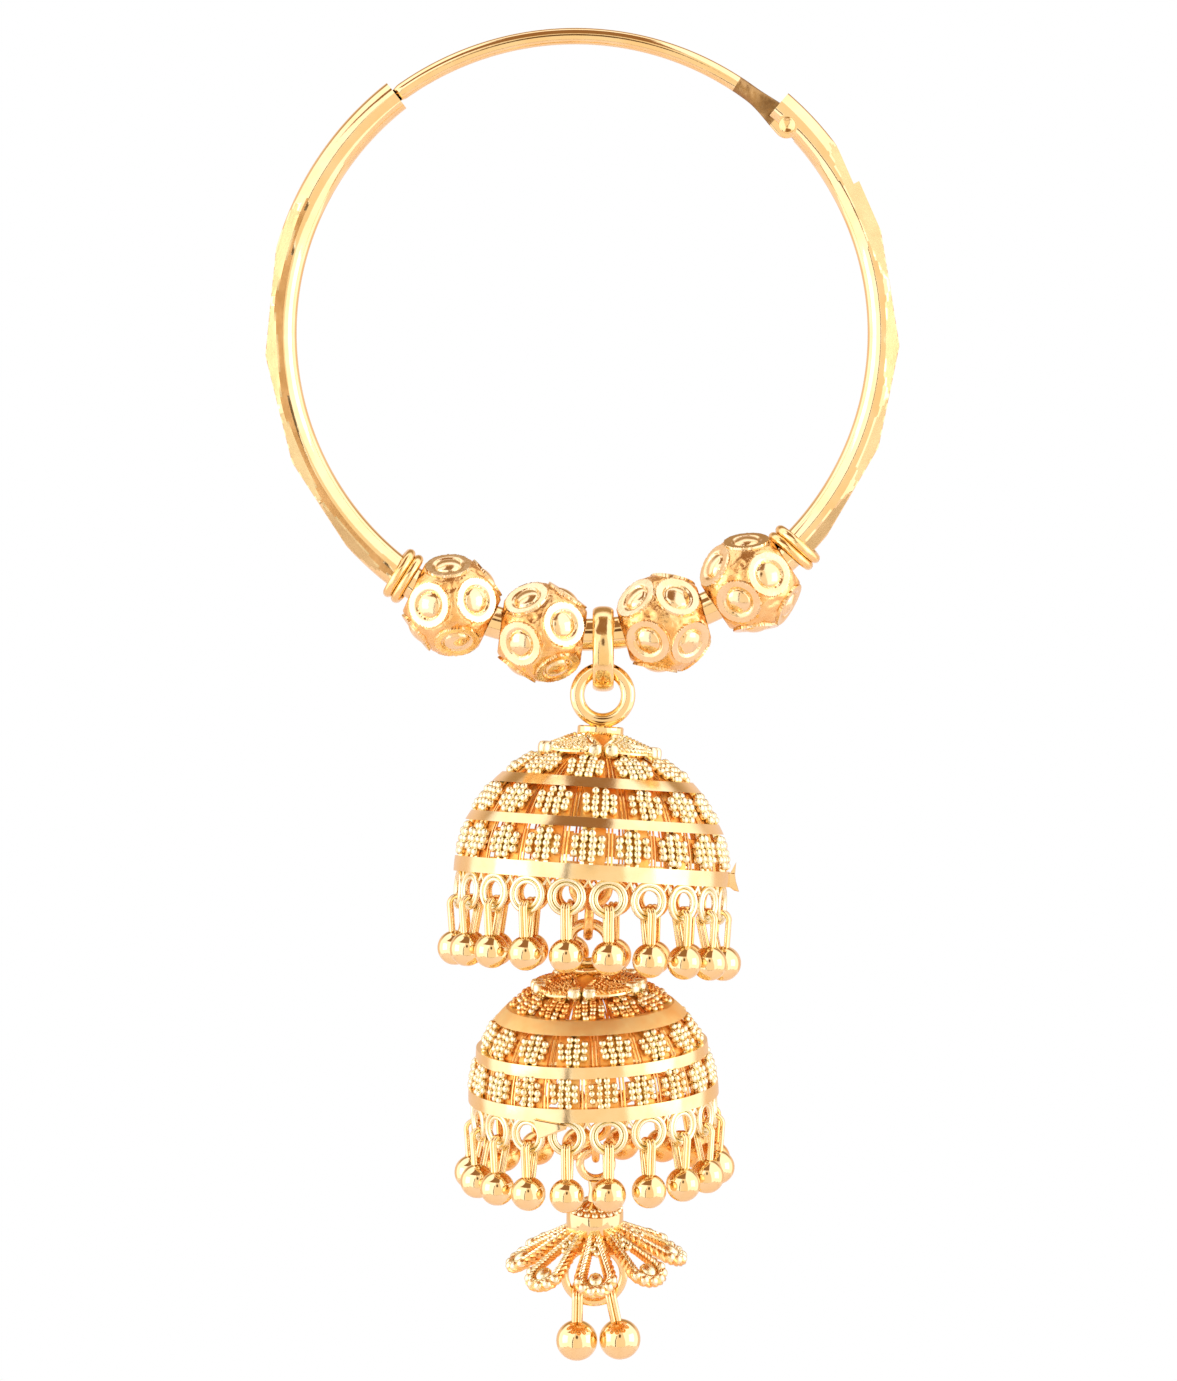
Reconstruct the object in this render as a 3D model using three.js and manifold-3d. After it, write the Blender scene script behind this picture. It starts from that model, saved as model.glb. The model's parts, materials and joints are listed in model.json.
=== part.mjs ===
// A jhumka earring: a hinged tube hoop strung with four ball beads, two pierced domes that
// hang from it one under the other with ball drops round their rims, and a star flower below.
// Millimetres and degrees. +Z is up, +X is to the right of the front view, the front faces -Y.
// The origin is the middle of the ear wire at the top of the hoop, where it sits in the ear.

import * as THREE from "three";
import { ConvexGeometry } from "three/addons/geometries/ConvexGeometry.js";
import { mergeVertices } from "three/addons/utils/BufferGeometryUtils.js";
import Module from "manifold-3d";

const wasm = await Module();
wasm.setup();

// Hoop tube, measured round the hoop's centre from +X towards +Z
const hoopDiameter = 30;
const tubeDiameter = 1.52;
const mouthAngle = 128;
const hingeEndAngle = 49.3;
const mouthBore = 1.16;
const mouthBoreDepth = 1.5;
const slotWidth = 0.6;
const slotLength = 5.1;
const slotFloorBelowAxis = 0.35;

// Diamond-cut flats: the corners between them, round each side of the hoop
const outerFlatCorners = [
  [164.5, 184, 204, 222],
  [-39.5, -21.1, -2.2, 20.6],
];
const bevelFlatCorners = [
  [155, 174, 194, 213, 230],
  [-48, -30.3, -11.7, 9.2, 38],
];
const bevelTilt = 45;

// Ear wire and its rivet
const wireDiameter = 0.78;
const wireTipDiameter = 0.4;
const wireTaper = 0.6;
const wireEngagement = 0.3;
const pinAngle = 45.4;
const pinInset = 0.46; // from the tube's middle line towards the hoop's centre
const pinDiameter = 0.5;
const pinHeadDiameter = 0.8;
const pinHeadThickness = 0.12;
const pinClearance = 0.08;
const tabThickness = 0.4;
const tabWidth = 1.25;
const tabLength = 2.4;
const cheekFace = 0.58; // half the width left between the spot faces under the rivet heads

// Ball beads: where each sits from the hoop's lowest point, and the turn of its two disc rows
const beadDiameter = 4.5;
const beadDiscDiameter = 1.8;
const beadPoleHalf = 1.98;
const beadPoleDiameter = 2.5;
const beadBoreClearance = 0.2;
const discRowLatitude = 26.57;
const beads = [
  { at: -25.6, leftRow: -14, rightRow: 22 },
  { at: -7.6, leftRow: -21, rightRow: 15 },
  { at: 15.7, leftRow: -19, rightRow: 33 },
  { at: 33.9, leftRow: -12, rightRow: -4 },
];

// Wire coils that stop the beads
const coilWire = 0.4;
const coilTurns = 1.75;
const coilPitch = 0.46;
const coilClearance = 0.09;

// Bail and the eye of the upper dome
const bailAt = 4;
const bailInner = 3.04;
const bailThickness = 0.5;
const bailWidth = 1;
const linkClearance = 0.1;
const bailClearance = 0.06;
const upperEyeInner = 1.73;
const upperEyeWire = 0.68;

// How the parts of the drop lean at rest
const upperRoll = 3.5;
const lowerTilt = 11.2;
const lowerRoll = -5.4;
const starTilt = 8;
const starRoll = 2.9;
const rimDropSplay = 4;

// Domes: each is a ball shell with bands, rows of slots, a cap, a post with a loop, and rim loops.
// A band's level is its height over the ball's centre as a share of the dome's radius. A turn is
// how far round a row's first solid panel, or the rim's first gap, lies from the front.
const wall = 0.6;
const bandProud = 0.12;
const slotMargin = 0.12; // between the ends of a slot and the bands
const slotReach = 4; // the depth in which a slot's walls would meet
const neckDiameter = 1.1;
const postDiameter = 0.7;
const upperDome = {
  radius: 6.53,
  centre: 9.01,
  collarTop: 1.88,
  collarHeight: 0.48,
  collarDiameter: 2.18,
  capDiameter: 5.8,
  capThickness: 0.25,
  loopDrop: 10.29,
  loopInner: 1.1,
  loopWire: 0.5,
  bands: [
    { level: 0.688, width: 0.4 },
    { level: 0.398, width: 0.46 },
    { level: 0.041, width: 0.72 },
  ],
  slots: [
    { copies: 10, width: 0.5, turn: -9 },
    { copies: 15, width: 0.55, turn: 2 },
    { copies: 18, width: 0.57, turn: -2.5 },
  ],
  rimLoops: 20,
  rimTurn: -1.2,
  rimLoopBelow: 0.85,
};
const lowerDome = {
  radius: 5.93,
  centre: 7.7,
  collarTop: 1.45,
  collarHeight: 0.4,
  collarDiameter: 1.9,
  capDiameter: 5.46,
  capThickness: 0.25,
  loopDrop: 9.81,
  loopInner: 0.8,
  loopWire: 0.4,
  bands: [
    { level: 0.732, width: 0.35 },
    { level: 0.374, width: 0.55 },
    { level: 0.044, width: 0.65 },
  ],
  slots: [
    { copies: 12, width: 0.4, turn: 0 },
    { copies: 15, width: 0.45, turn: -9.5 },
    { copies: 19, width: 0.5, turn: 6 },
  ],
  rimLoops: 18,
  rimTurn: -2.4,
  rimLoopBelow: 0.73,
};
const rimLoopDiameter = 1.76;
const rimWire = 0.3;
const rimInset = 0.1;
const rimLoopOpening = 80; // round the loop, between its two ends
const rimSolder = 0.2; // how far the ends go up into the band

// Ball drops on the rims and under the star
const rimDrop = { ball: 1.64, fall: 2.05, wire: 0.24 };
const starDrop = { ball: 1.96, fall: 2.05, wire: 0.3 };
const starDropSlack = 0.2; // more room in their loops, which hang where the ring slopes
const starDrops = [
  { sideways: -0.76, lean: -1 },
  { sideways: 0.82, lean: 12 },
];

// Links between the tiers
const tierLink = { inner: 1.65, wire: 0.45 };
const starLink = { inner: 1.14, wire: 0.36 };
const lowerEyeInner = 1.4;
const lowerEyeWire = 0.5;
const starEyeInner = 1.1;
const starEyeWire = 0.4;

// Star flower: a bell-shaped hub, eight open petals and a ring under it
const starHubDrop = 2.5;
const starHubDiameter = 2.7;
const starHubHeight = 0.9;
const starStem = 1.08; // from the hub's edge down to the ring
const starPetals = 8;
const starReach = 4.3;
const petalDroop = 25;
const petalWidth = 1.8;
const petalBorder = 0.4;
const petalThickness = 0.4;
const starRingInner = 2.4;
const starRingWire = 0.4;

// Fineness of the meshes
const tubeSides = 10;
const tubeSteps = 22;
const ringSides = 10;
const wireSides = 5;
const ballSides = 9;

const hoopRadius = (hoopDiameter - tubeDiameter) / 2;
const pinRadius = hoopRadius - pinInset;

function radians(degrees) {
  return THREE.MathUtils.degToRad(degrees);
}

function moved(x, y, z) {
  return new THREE.Matrix4().makeTranslation(x, y, z);
}

// A point at an angle and radius round the Y axis, in the hoop's plane
function polar(angle, radius) {
  const turn = radians(angle);
  return new THREE.Vector3(radius * Math.cos(turn), 0, radius * Math.sin(turn));
}

// The solid of a closed geometry
function solid(geometry, matrix = new THREE.Matrix4()) {
  const loose = geometry.index ? geometry.toNonIndexed() : geometry;
  const bare = new THREE.BufferGeometry();
  bare.setAttribute("position", loose.getAttribute("position").clone());
  bare.applyMatrix4(matrix);
  const merged = mergeVertices(bare, 1e-4);
  const mesh = new wasm.Mesh({
    numProp: 3,
    vertProperties: merged.attributes.position.array,
    triVerts: new Uint32Array(merged.index.array),
  });
  return new wasm.Manifold(mesh);
}

function joined(solids) {
  return solids.reduce((sum, next) => sum.add(next));
}

function without(body, cutters) {
  return body.subtract(joined(cutters));
}

function geometryOf(body) {
  const mesh = body.getMesh();
  const geometry = new THREE.BufferGeometry();
  geometry.setAttribute(
    "position",
    new THREE.BufferAttribute(new Float32Array(mesh.vertProperties), 3),
  );
  geometry.setIndex(new THREE.BufferAttribute(new Uint32Array(mesh.triVerts), 1));
  geometry.computeVertexNormals();
  return geometry;
}

// A path through points, sampled exactly at each of them
class Route extends THREE.Curve {
  constructor(points) {
    super();
    this.points = points;
  }
  getUtoTmapping(u) {
    return u;
  }
  getPoint(t, target = new THREE.Vector3()) {
    const spans = this.points.length - 1;
    const i = Math.min(Math.floor(t * spans), spans - 1);
    return target.lerpVectors(this.points[i], this.points[i + 1], t * spans - i);
  }
  getTangent(t, target = new THREE.Vector3()) {
    const last = this.points.length - 1;
    const i = Math.round(t * last);
    const here = this.points[i];
    const into = here.clone().sub(this.points[Math.max(i - 1, 0)]).normalize();
    const out = this.points[Math.min(i + 1, last)].clone().sub(here).normalize();
    return target.copy(into.add(out)).normalize();
  }
}

function regularShape(radius, sides) {
  const corners = [];
  for (let i = 0; i < sides; i++) {
    const turn = (2 * Math.PI * i) / sides;
    corners.push(new THREE.Vector2(radius * Math.cos(turn), radius * Math.sin(turn)));
  }
  return new THREE.Shape(corners);
}

// A round wire through points, with flat ends
function wireThrough(points, diameter, sides) {
  return new THREE.ExtrudeGeometry(regularShape(diameter / 2, sides), {
    steps: points.length - 1,
    extrudePath: new Route(points),
    bevelEnabled: false,
  });
}

// A closed ring of round wire about the Y axis
function ringAboutY(innerDiameter, wire, wireSideCount = 6, sides = ringSides) {
  const middle = (innerDiameter + wire) / 2;
  return new THREE.TorusGeometry(middle, wire / 2, wireSideCount, sides).rotateX(Math.PI / 2);
}

function ringAboutX(innerDiameter, wire, wireSideCount = 6, sides = ringSides) {
  const middle = (innerDiameter + wire) / 2;
  return new THREE.TorusGeometry(middle, wire / 2, wireSideCount, sides).rotateY(Math.PI / 2);
}

// A flat shape drawn in the hoop's plane, thick about that plane
function platedInHoopPlane(shape, thickness) {
  const plate = new THREE.ExtrudeGeometry(shape, {
    depth: thickness,
    bevelEnabled: false,
    curveSegments: 6,
  });
  return plate.rotateX(Math.PI / 2).translate(0, thickness / 2, 0);
}

// A big block whose near face stands square to a direction, at a distance from the centre
function blockBeyond(direction, distance) {
  const size = hoopDiameter;
  const block = new THREE.BoxGeometry(size, size, size);
  const turn = new THREE.Quaternion().setFromUnitVectors(
    new THREE.Vector3(0, 0, 1),
    direction,
  );
  block.applyQuaternion(turn);
  const centre = direction.clone().multiplyScalar(distance + size / 2);
  return solid(block, moved(centre.x, centre.y, centre.z));
}

// One diamond-cut flat between two corner angles, tilted forward or back from the rim
function flatCutter(from, to, tilt) {
  const half = radians((to - from) / 2);
  const lean = radians(tilt);
  const direction = polar((from + to) / 2, Math.cos(lean));
  direction.y = Math.sin(lean);
  const distance = hoopRadius * Math.cos(lean) * Math.cos(half) + tubeDiameter / 2;
  const rimDistance = (hoopDiameter / 2) * Math.cos(half);
  return blockBeyond(direction, tilt === 0 ? rimDistance : distance);
}

function flatCutters() {
  const cutters = [];
  const cutBetween = (corners, tilt) => {
    for (let i = 0; i + 1 < corners.length; i++) {
      cutters.push(flatCutter(corners[i], corners[i + 1], tilt));
    }
  };
  outerFlatCorners.forEach((corners) => cutBetween(corners, 0));
  bevelFlatCorners.forEach((corners) => {
    cutBetween(corners, bevelTilt);
    cutBetween(corners, -bevelTilt);
  });
  return cutters;
}

function ringSector(inner, outer, fromAngle, toAngle) {
  const shape = new THREE.Shape();
  shape.absarc(0, 0, outer, radians(fromAngle), radians(toAngle), false);
  shape.absarc(0, 0, inner, radians(toAngle), radians(fromAngle), true);
  return shape;
}

// The slot for the ear wire's tab: right through at the rivet, then along the outer side
function slotCutters() {
  const clear = tubeDiameter;
  const beyondEnd = hingeEndAngle + THREE.MathUtils.radToDeg(clear / hoopRadius);
  const reach = tabWidth / 2 + linkClearance;
  const throughEnd = pinAngle - THREE.MathUtils.radToDeg(reach / pinRadius);
  const slotEnd = hingeEndAngle - THREE.MathUtils.radToDeg(slotLength / hoopRadius);
  const through = ringSector(hoopRadius - clear, hoopRadius + clear, throughEnd, beyondEnd);
  const floor = hoopRadius - slotFloorBelowAxis;
  const along = ringSector(floor, hoopRadius + clear, slotEnd, beyondEnd);
  return [
    solid(platedInHoopPlane(through, slotWidth)),
    solid(platedInHoopPlane(along, slotWidth)),
  ];
}

function rodAboutY(diameter, length, place, sides = 12) {
  const rod = new THREE.CylinderGeometry(diameter / 2, diameter / 2, length, sides);
  return solid(rod, moved(place.x, place.y, place.z));
}

// The rivet's hole through both cheeks, and the flats under its heads
function rivetCutters() {
  const place = polar(pinAngle, pinRadius);
  const seatDepth = tubeDiameter;
  const seats = [-1, 1].map((side) => {
    const seat = place.clone();
    seat.y = side * (cheekFace + seatDepth / 2);
    return rodAboutY(pinHeadDiameter + 2 * linkClearance, seatDepth, seat);
  });
  return [rodAboutY(pinDiameter + 2 * pinClearance, 2 * tubeDiameter, place, 8), ...seats];
}

// The blind bore that takes the ear wire's tip
function mouthCutter() {
  const overrun = 0.5;
  const length = mouthBoreDepth + overrun;
  const bore = new THREE.CylinderGeometry(mouthBore / 2, mouthBore / 2, length, tubeSides);
  const inward = polar(mouthAngle + 90, 1);
  const turn = new THREE.Quaternion().setFromUnitVectors(new THREE.Vector3(0, 1, 0), inward);
  bore.applyQuaternion(turn);
  const centre = polar(mouthAngle, hoopRadius);
  centre.addScaledVector(inward, mouthBoreDepth / 2 - overrun / 2);
  return solid(bore, moved(centre.x, centre.y, centre.z));
}

function hoopTube() {
  const points = [];
  const span = hingeEndAngle + 360 - mouthAngle;
  for (let i = 0; i <= tubeSteps; i++) {
    points.push(polar(mouthAngle + (span * i) / tubeSteps, hoopRadius));
  }
  const tube = solid(wireThrough(points, tubeDiameter, tubeSides));
  return without(tube, [
    ...flatCutters(),
    ...slotCutters(),
    ...rivetCutters(),
    mouthCutter(),
  ]);
}

function hingePin() {
  const head = pinHeadDiameter / 2;
  const shank = pinDiameter / 2;
  const under = cheekFace + pinClearance / 2;
  const end = under + pinHeadThickness;
  const profile = [
    [0, -end],
    [head, -end],
    [head, -under],
    [shank, -under],
    [shank, under],
    [head, under],
    [head, end],
    [0, end],
  ].map(([x, y]) => new THREE.Vector2(x, y));
  return solid(new THREE.LatheGeometry(profile, 10));
}

// The ear wire's middle line: its distance from the hoop's centre grows evenly to the mouth
function earWirePoint(angle) {
  const share = (angle - pinAngle) / (mouthAngle - pinAngle);
  return polar(angle, pinRadius + (hoopRadius - pinRadius) * share);
}

// The plate between two round ends in the hoop's plane
function roundEndedPlate(ends, thickness) {
  const points = [];
  ends.forEach(({ place, diameter }) => {
    for (let i = 0; i < tubeSides; i++) {
      const edge = polar((360 * i) / tubeSides, diameter / 2).add(place);
      points.push(edge.clone().setY(-thickness / 2), edge.clone().setY(thickness / 2));
    }
  });
  return solid(new ConvexGeometry(points));
}

function earWire() {
  const degreesPerMm = THREE.MathUtils.radToDeg(1 / hoopRadius);
  const tabEnd = pinAngle + tabLength * degreesPerMm;
  const roundStart = tabEnd - (wireDiameter / 2) * degreesPerMm;
  const tip = mouthAngle + wireEngagement * degreesPerMm;
  const taperStart = tip - wireTaper * degreesPerMm;
  const steps = 12;
  const points = [];
  for (let i = 0; i <= steps; i++) {
    points.push(earWirePoint(roundStart + ((taperStart - roundStart) * i) / steps));
  }
  const wire = solid(wireThrough(points, wireDiameter, 6));
  const from = earWirePoint(taperStart);
  const along = earWirePoint(tip).sub(from).normalize();
  const taper = new THREE.CylinderGeometry(wireTipDiameter / 2, wireDiameter / 2, wireTaper, 6);
  taper.applyQuaternion(
    new THREE.Quaternion().setFromUnitVectors(new THREE.Vector3(0, 1, 0), along),
  );
  const middle = from.addScaledVector(along, wireTaper / 2 - 0.02);
  const tab = roundEndedPlate(
    [
      { place: earWirePoint(pinAngle), diameter: tabWidth },
      { place: earWirePoint(tabEnd), diameter: wireDiameter },
    ],
    tabThickness,
  );
  const hole = rodAboutY(pinDiameter + 2 * linkClearance, 1, earWirePoint(pinAngle), 10);
  return joined([wire, solid(taper, moved(middle.x, middle.y, middle.z)), tab]).subtract(hole);
}

// A ball bead bored along X: ten round flats in two rows, drawn tight between them
function bead({ leftRow, rightRow }) {
  const axis = new THREE.Vector3(0, 0, 1);
  const points = [];
  const addDisc = (direction, distance, radius) => {
    const turn = new THREE.Quaternion().setFromUnitVectors(axis, direction);
    for (let i = 0; i < 8; i++) {
      const edge = new THREE.Vector3(
        radius * Math.cos(radians(45 * i)),
        radius * Math.sin(radians(45 * i)),
        distance,
      );
      points.push(edge.applyQuaternion(turn));
    }
  };
  const latitude = radians(discRowLatitude);
  [-1, 1].forEach((side) => {
    for (let i = 0; i < 5; i++) {
      const turn = radians((side < 0 ? leftRow : rightRow) + 72 * i);
      const direction = new THREE.Vector3(
        side * Math.sin(latitude),
        -Math.cos(latitude) * Math.cos(turn),
        Math.cos(latitude) * Math.sin(turn),
      );
      addDisc(direction, beadDiameter / 2, beadDiscDiameter / 2);
    }
    addDisc(new THREE.Vector3(side, 0, 0), beadPoleHalf, beadPoleDiameter / 2);
  });
  const boreRadius = tubeDiameter / 2 + beadBoreClearance;
  const bore = new THREE.CylinderGeometry(boreRadius, boreRadius, 2 * beadDiameter, 12);
  bore.rotateZ(Math.PI / 2);
  return solid(new ConvexGeometry(points)).subtract(solid(bore));
}

// A short coil of wire wound on the tube, about X
function stopCoil() {
  const radius = (tubeDiameter + coilWire) / 2 + coilClearance;
  const stepsPerTurn = 8;
  const steps = Math.round(coilTurns * stepsPerTurn);
  const points = [];
  for (let i = 0; i <= steps; i++) {
    const turns = i / stepsPerTurn - coilTurns / 2;
    points.push(
      new THREE.Vector3(
        turns * coilPitch,
        radius * Math.cos(turns * 2 * Math.PI),
        radius * Math.sin(turns * 2 * Math.PI),
      ),
    );
  }
  return solid(wireThrough(points, coilWire, wireSides));
}

// Half the length of a coil along the tube
const coilHalf = (coilTurns * coilPitch + coilWire) / 2;
const stopSpacing = THREE.MathUtils.radToDeg(
  (beadPoleHalf + coilHalf + linkClearance) / hoopRadius,
);

// The bail is a ring about X, wider along X than it is thick
function bail() {
  const ring = ringAboutX(bailInner, bailThickness, 6, 14);
  return solid(ring.scale(bailWidth / bailThickness, 1, 1));
}

// A section turned about the Z axis
function turned(profile, sides) {
  return solid(new THREE.LatheGeometry(profile, sides).rotateX(Math.PI / 2));
}

// The radius of a dome's shell at a height above its ball's centre
function shellRadius(radius, height) {
  return Math.sqrt(radius ** 2 - height ** 2);
}

// A dome's bands with their heights over the ball's centre, from the top down
function bandsOf(dome) {
  return dome.bands.map(({ level, width }) => ({ height: level * dome.radius, width }));
}

// A dome's section from the top of its neck down the outside, back up the inside and down
// the post, as distances from the axis and below the point that it hangs from
function domeProfile(dome, eyeBottom) {
  const neck = neckDiameter / 2;
  const collar = dome.collarDiameter / 2;
  const cap = dome.capDiameter / 2;
  const face = dome.radius - bandProud;
  const inside = dome.radius - wall;
  const collarBottom = dome.collarTop + dome.collarHeight;
  const capSeat = dome.centre - shellRadius(face, cap);
  const outer = [
    [0, eyeBottom],
    [neck, eyeBottom],
    [neck, dome.collarTop],
    [collar, dome.collarTop],
    [collar, collarBottom],
    [cap, capSeat - dome.capThickness],
    [cap, capSeat],
  ];
  const inner = [];
  const bands = bandsOf(dome);
  bands.forEach(({ height, width }) => {
    const top = height + width / 2;
    const bottom = height - width / 2;
    outer.push(
      [shellRadius(face, top), dome.centre - top],
      [shellRadius(dome.radius, top), dome.centre - top],
      [shellRadius(dome.radius, bottom), dome.centre - bottom],
      [shellRadius(face, bottom), dome.centre - bottom],
    );
    inner.unshift([shellRadius(inside, height), dome.centre - height]);
  });
  outer.pop();
  const rim = bands[bands.length - 1];
  inner[0][1] = dome.centre - rim.height + rim.width / 2;
  const capInside = Math.max(inside ** 2 - bands[0].height ** 2, 0);
  const postTop = collarBottom + wall;
  inner.push([Math.sqrt(capInside) * 0.45, dome.centre - inside]);
  inner.push([postDiameter / 2, Math.max(postTop, dome.centre - inside)]);
  const postEnd = dome.loopDrop - dome.loopInner - dome.loopWire;
  inner.push([postDiameter / 2, postEnd], [0, postEnd]);
  return [...outer, ...inner].reverse().map(([r, drop]) => new THREE.Vector2(r, -drop));
}

// One row of upright slots between two heights on the shell: each cutter is a pyramid that
// points inwards from outside the shell
function slotRow(dome, topHeight, bottomHeight, { copies, width, turn }) {
  const face = dome.radius - bandProud;
  const top = new THREE.Vector2(shellRadius(face, topHeight), topHeight);
  const bottom = new THREE.Vector2(shellRadius(face, bottomHeight), bottomHeight);
  const slope = top.clone().sub(bottom);
  const middle = top.clone().add(bottom).multiplyScalar(0.5);
  const lean = Math.atan2(-slope.x, slope.y);
  const outside = wall;
  const growth = (slotReach + outside) / slotReach;
  const length = slope.length() - 2 * slotMargin;
  const cutters = [];
  for (let i = 0; i < copies; i++) {
    const pyramid = new THREE.ConeGeometry(Math.SQRT1_2, slotReach + outside, 4, 1, false, Math.PI / 4);
    pyramid.scale(width * growth, 1, length * growth);
    pyramid.rotateZ(Math.PI / 2);
    pyramid.translate(-(slotReach - outside) / 2, 0, 0);
    pyramid.rotateY(-lean);
    pyramid.translate(middle.x, 0, middle.y - dome.centre);
    pyramid.rotateZ(radians((360 * (i + 0.5)) / copies + turn - 90));
    cutters.push(solid(pyramid));
  }
  return cutters;
}

function slotCuttersOf(dome) {
  const face = dome.radius - bandProud;
  let top = shellRadius(face, dome.capDiameter / 2);
  const cutters = [];
  bandsOf(dome).forEach(({ height, width }, row) => {
    cutters.push(...slotRow(dome, top, height + width / 2, dome.slots[row]));
    top = height - width / 2;
  });
  return cutters;
}

// How far the lower edge of a dome's rim band lies below its hanging point
function rimBottom(dome) {
  const rim = bandsOf(dome).pop();
  return dome.centre - rim.height + rim.width / 2;
}

// The middle of each rim loop, in the dome's frame
function rimLoopPlaces(dome) {
  const radius = dome.radius - rimWire / 2 - rimInset;
  const drop = rimBottom(dome) + dome.rimLoopBelow;
  const places = [];
  for (let i = 0; i < dome.rimLoops; i++) {
    const azimuth = (360 * (i + 0.5)) / dome.rimLoops + dome.rimTurn - 90;
    places.push({ azimuth, radius, drop });
  }
  return places;
}

// Rim loops are open at the top, where both ends rise into the band
function rimLoops(dome) {
  const middle = (rimLoopDiameter - rimWire) / 2;
  const open = radians(rimLoopOpening / 2);
  const end = middle * Math.sin(open);
  const endHeight = rimSolder - rimBottom(dome);
  const steps = 5;
  return rimLoopPlaces(dome).map(({ azimuth, radius, drop }) => {
    const points = [new THREE.Vector3(radius, end, endHeight)];
    for (let i = 0; i <= steps; i++) {
      const turn = open + ((2 * Math.PI - 2 * open) * i) / steps;
      points.push(
        new THREE.Vector3(radius, middle * Math.sin(turn), middle * Math.cos(turn) - drop),
      );
    }
    points.push(new THREE.Vector3(radius, -end, endHeight));
    return solid(wireThrough(points, rimWire, wireSides).rotateZ(radians(azimuth)));
  });
}

// A pierced dome with its eye on top, in a frame whose origin is the wire that the eye hangs on
function domeBody(dome, eye) {
  const profile = domeProfile(dome, eye.drop + eye.inner / 2 + eye.wire / 2);
  const shell = turned(profile, dome.rimLoops);
  const pierced = without(shell, slotCuttersOf(dome));
  const eyeRing = solid(ringAboutY(eye.inner, eye.wire, 6, 14), moved(0, 0, -eye.drop));
  const loopMiddle = dome.loopDrop - (dome.loopInner + dome.loopWire) / 2;
  const loop = solid(ringAboutY(dome.loopInner, dome.loopWire), moved(0, 0, -loopMiddle));
  return joined([pierced, eyeRing, loop, ...rimLoops(dome)]);
}

// A ball on a long wire loop that hangs over a wire at the origin and stands in the XZ plane
function drop({ ball, fall, wire }, over) {
  const arcSteps = 3;
  const clear = over / 2 + linkClearance + wire / 2;
  const half = clear / Math.cos(Math.PI / 2 / arcSteps);
  const points = [new THREE.Vector3(-half / 2, 0, -fall)];
  for (let i = 0; i <= arcSteps; i++) {
    points.push(polar(180 - (180 * i) / arcSteps, half));
  }
  points.push(new THREE.Vector3(half / 2, 0, -fall));
  const sphere = new THREE.SphereGeometry(ball / 2, ballSides, 4);
  return joined([
    solid(wireThrough(points, wire, wireSides)),
    solid(sphere, moved(0, 0, -fall)),
  ]);
}

function petalShape(inner, outer) {
  const half = petalWidth / 2;
  const shape = new THREE.Shape();
  const wide = outer - half;
  shape.moveTo(inner, 0);
  shape.lineTo(wide - half / 2, -half);
  shape.absarc(wide, 0, half, -Math.PI / 2, Math.PI / 2, false);
  shape.lineTo(wide - half / 2, half);
  const hole = new THREE.Path();
  const gap = half - petalBorder;
  hole.moveTo(inner + 2.6 * petalBorder, 0);
  hole.absarc(wide, 0, gap, Math.PI / 2, -Math.PI / 2, true);
  shape.holes.push(hole);
  return shape;
}

// The star flower, in a frame whose origin is the wire that its eye hangs on
function starFlower(eye) {
  const eyeBottom = eye.drop + eye.inner / 2 + eye.wire / 2;
  const hub = starHubDiameter / 2;
  const bottom = starHubDrop + starHubHeight;
  const profile = [
    [0, eyeBottom - eye.wire / 2],
    [postDiameter / 2, eyeBottom - eye.wire / 2],
    [postDiameter / 2, starHubDrop],
    [hub * 0.7, starHubDrop],
    [hub, starHubDrop + starHubHeight * 0.5],
    [hub, bottom],
    [hub * 0.5, bottom + 0.3],
    [postDiameter / 2, bottom + 0.5],
    [postDiameter / 2, bottom + starStem],
    [0, bottom + starStem],
  ].reverse().map(([r, fall]) => new THREE.Vector2(r, -fall));
  const pieces = [
    turned(profile, 12),
    solid(ringAboutY(eye.inner, eye.wire), moved(0, 0, -eye.drop)),
    solid(ringAboutY(starRingInner, starRingWire), moved(0, 0, -starRingDrop())),
  ];
  const root = hub * 0.6;
  const length = (starReach - root) / Math.cos(radians(petalDroop));
  for (let i = 0; i < starPetals; i++) {
    const petal = new THREE.ExtrudeGeometry(petalShape(0, length), {
      depth: petalThickness,
      bevelEnabled: false,
      curveSegments: 3,
    });
    petal.translate(0, 0, -petalThickness / 2).rotateY(radians(petalDroop));
    petal.translate(root, 0, -bottom + petalThickness / 2);
    pieces.push(solid(petal.rotateZ((2 * Math.PI * i) / starPetals)));
  }
  return joined(pieces);
}

// How far the middle of the ring under the star hangs below the star's own hanging point
function starRingDrop() {
  return starHubDrop + starHubHeight + starStem + (starRingInner + starRingWire) / 2;
}

// How far an eye's or a link's middle hangs below the wire that it hangs over
function hangDrop(inner, overThickness) {
  return inner / 2 - overThickness / 2 - linkClearance;
}

const gold = {
  bright: { color: 0xf6cf72, metalness: 1, roughness: 0.12 },
  burnished: { color: 0xf2c468, metalness: 1, roughness: 0.22 },
  filigree: { color: 0xeeb04e, metalness: 1, roughness: 0.35 },
};

function mesh(name, body, look) {
  const made = new THREE.Mesh(geometryOf(body), new THREE.MeshStandardMaterial(look));
  made.name = name;
  return made;
}

function groupAt(parent, place) {
  const group = new THREE.Group();
  group.position.copy(place);
  parent.add(group);
  return group;
}

const earring = new THREE.Group();

// Hoop, ear wire, rivet, beads and stops
const hoopCentre = new THREE.Vector3(0, 0, -earWirePoint(90).z);
const hoop = groupAt(earring, hoopCentre);
hoop.add(mesh("hoop_tube", hoopTube(), gold.bright));
hoop.add(mesh("ear_wire", earWire(), gold.bright));
const pin = mesh("hinge_pin", hingePin(), gold.bright);
pin.position.copy(polar(pinAngle, pinRadius));
hoop.add(pin);

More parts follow.
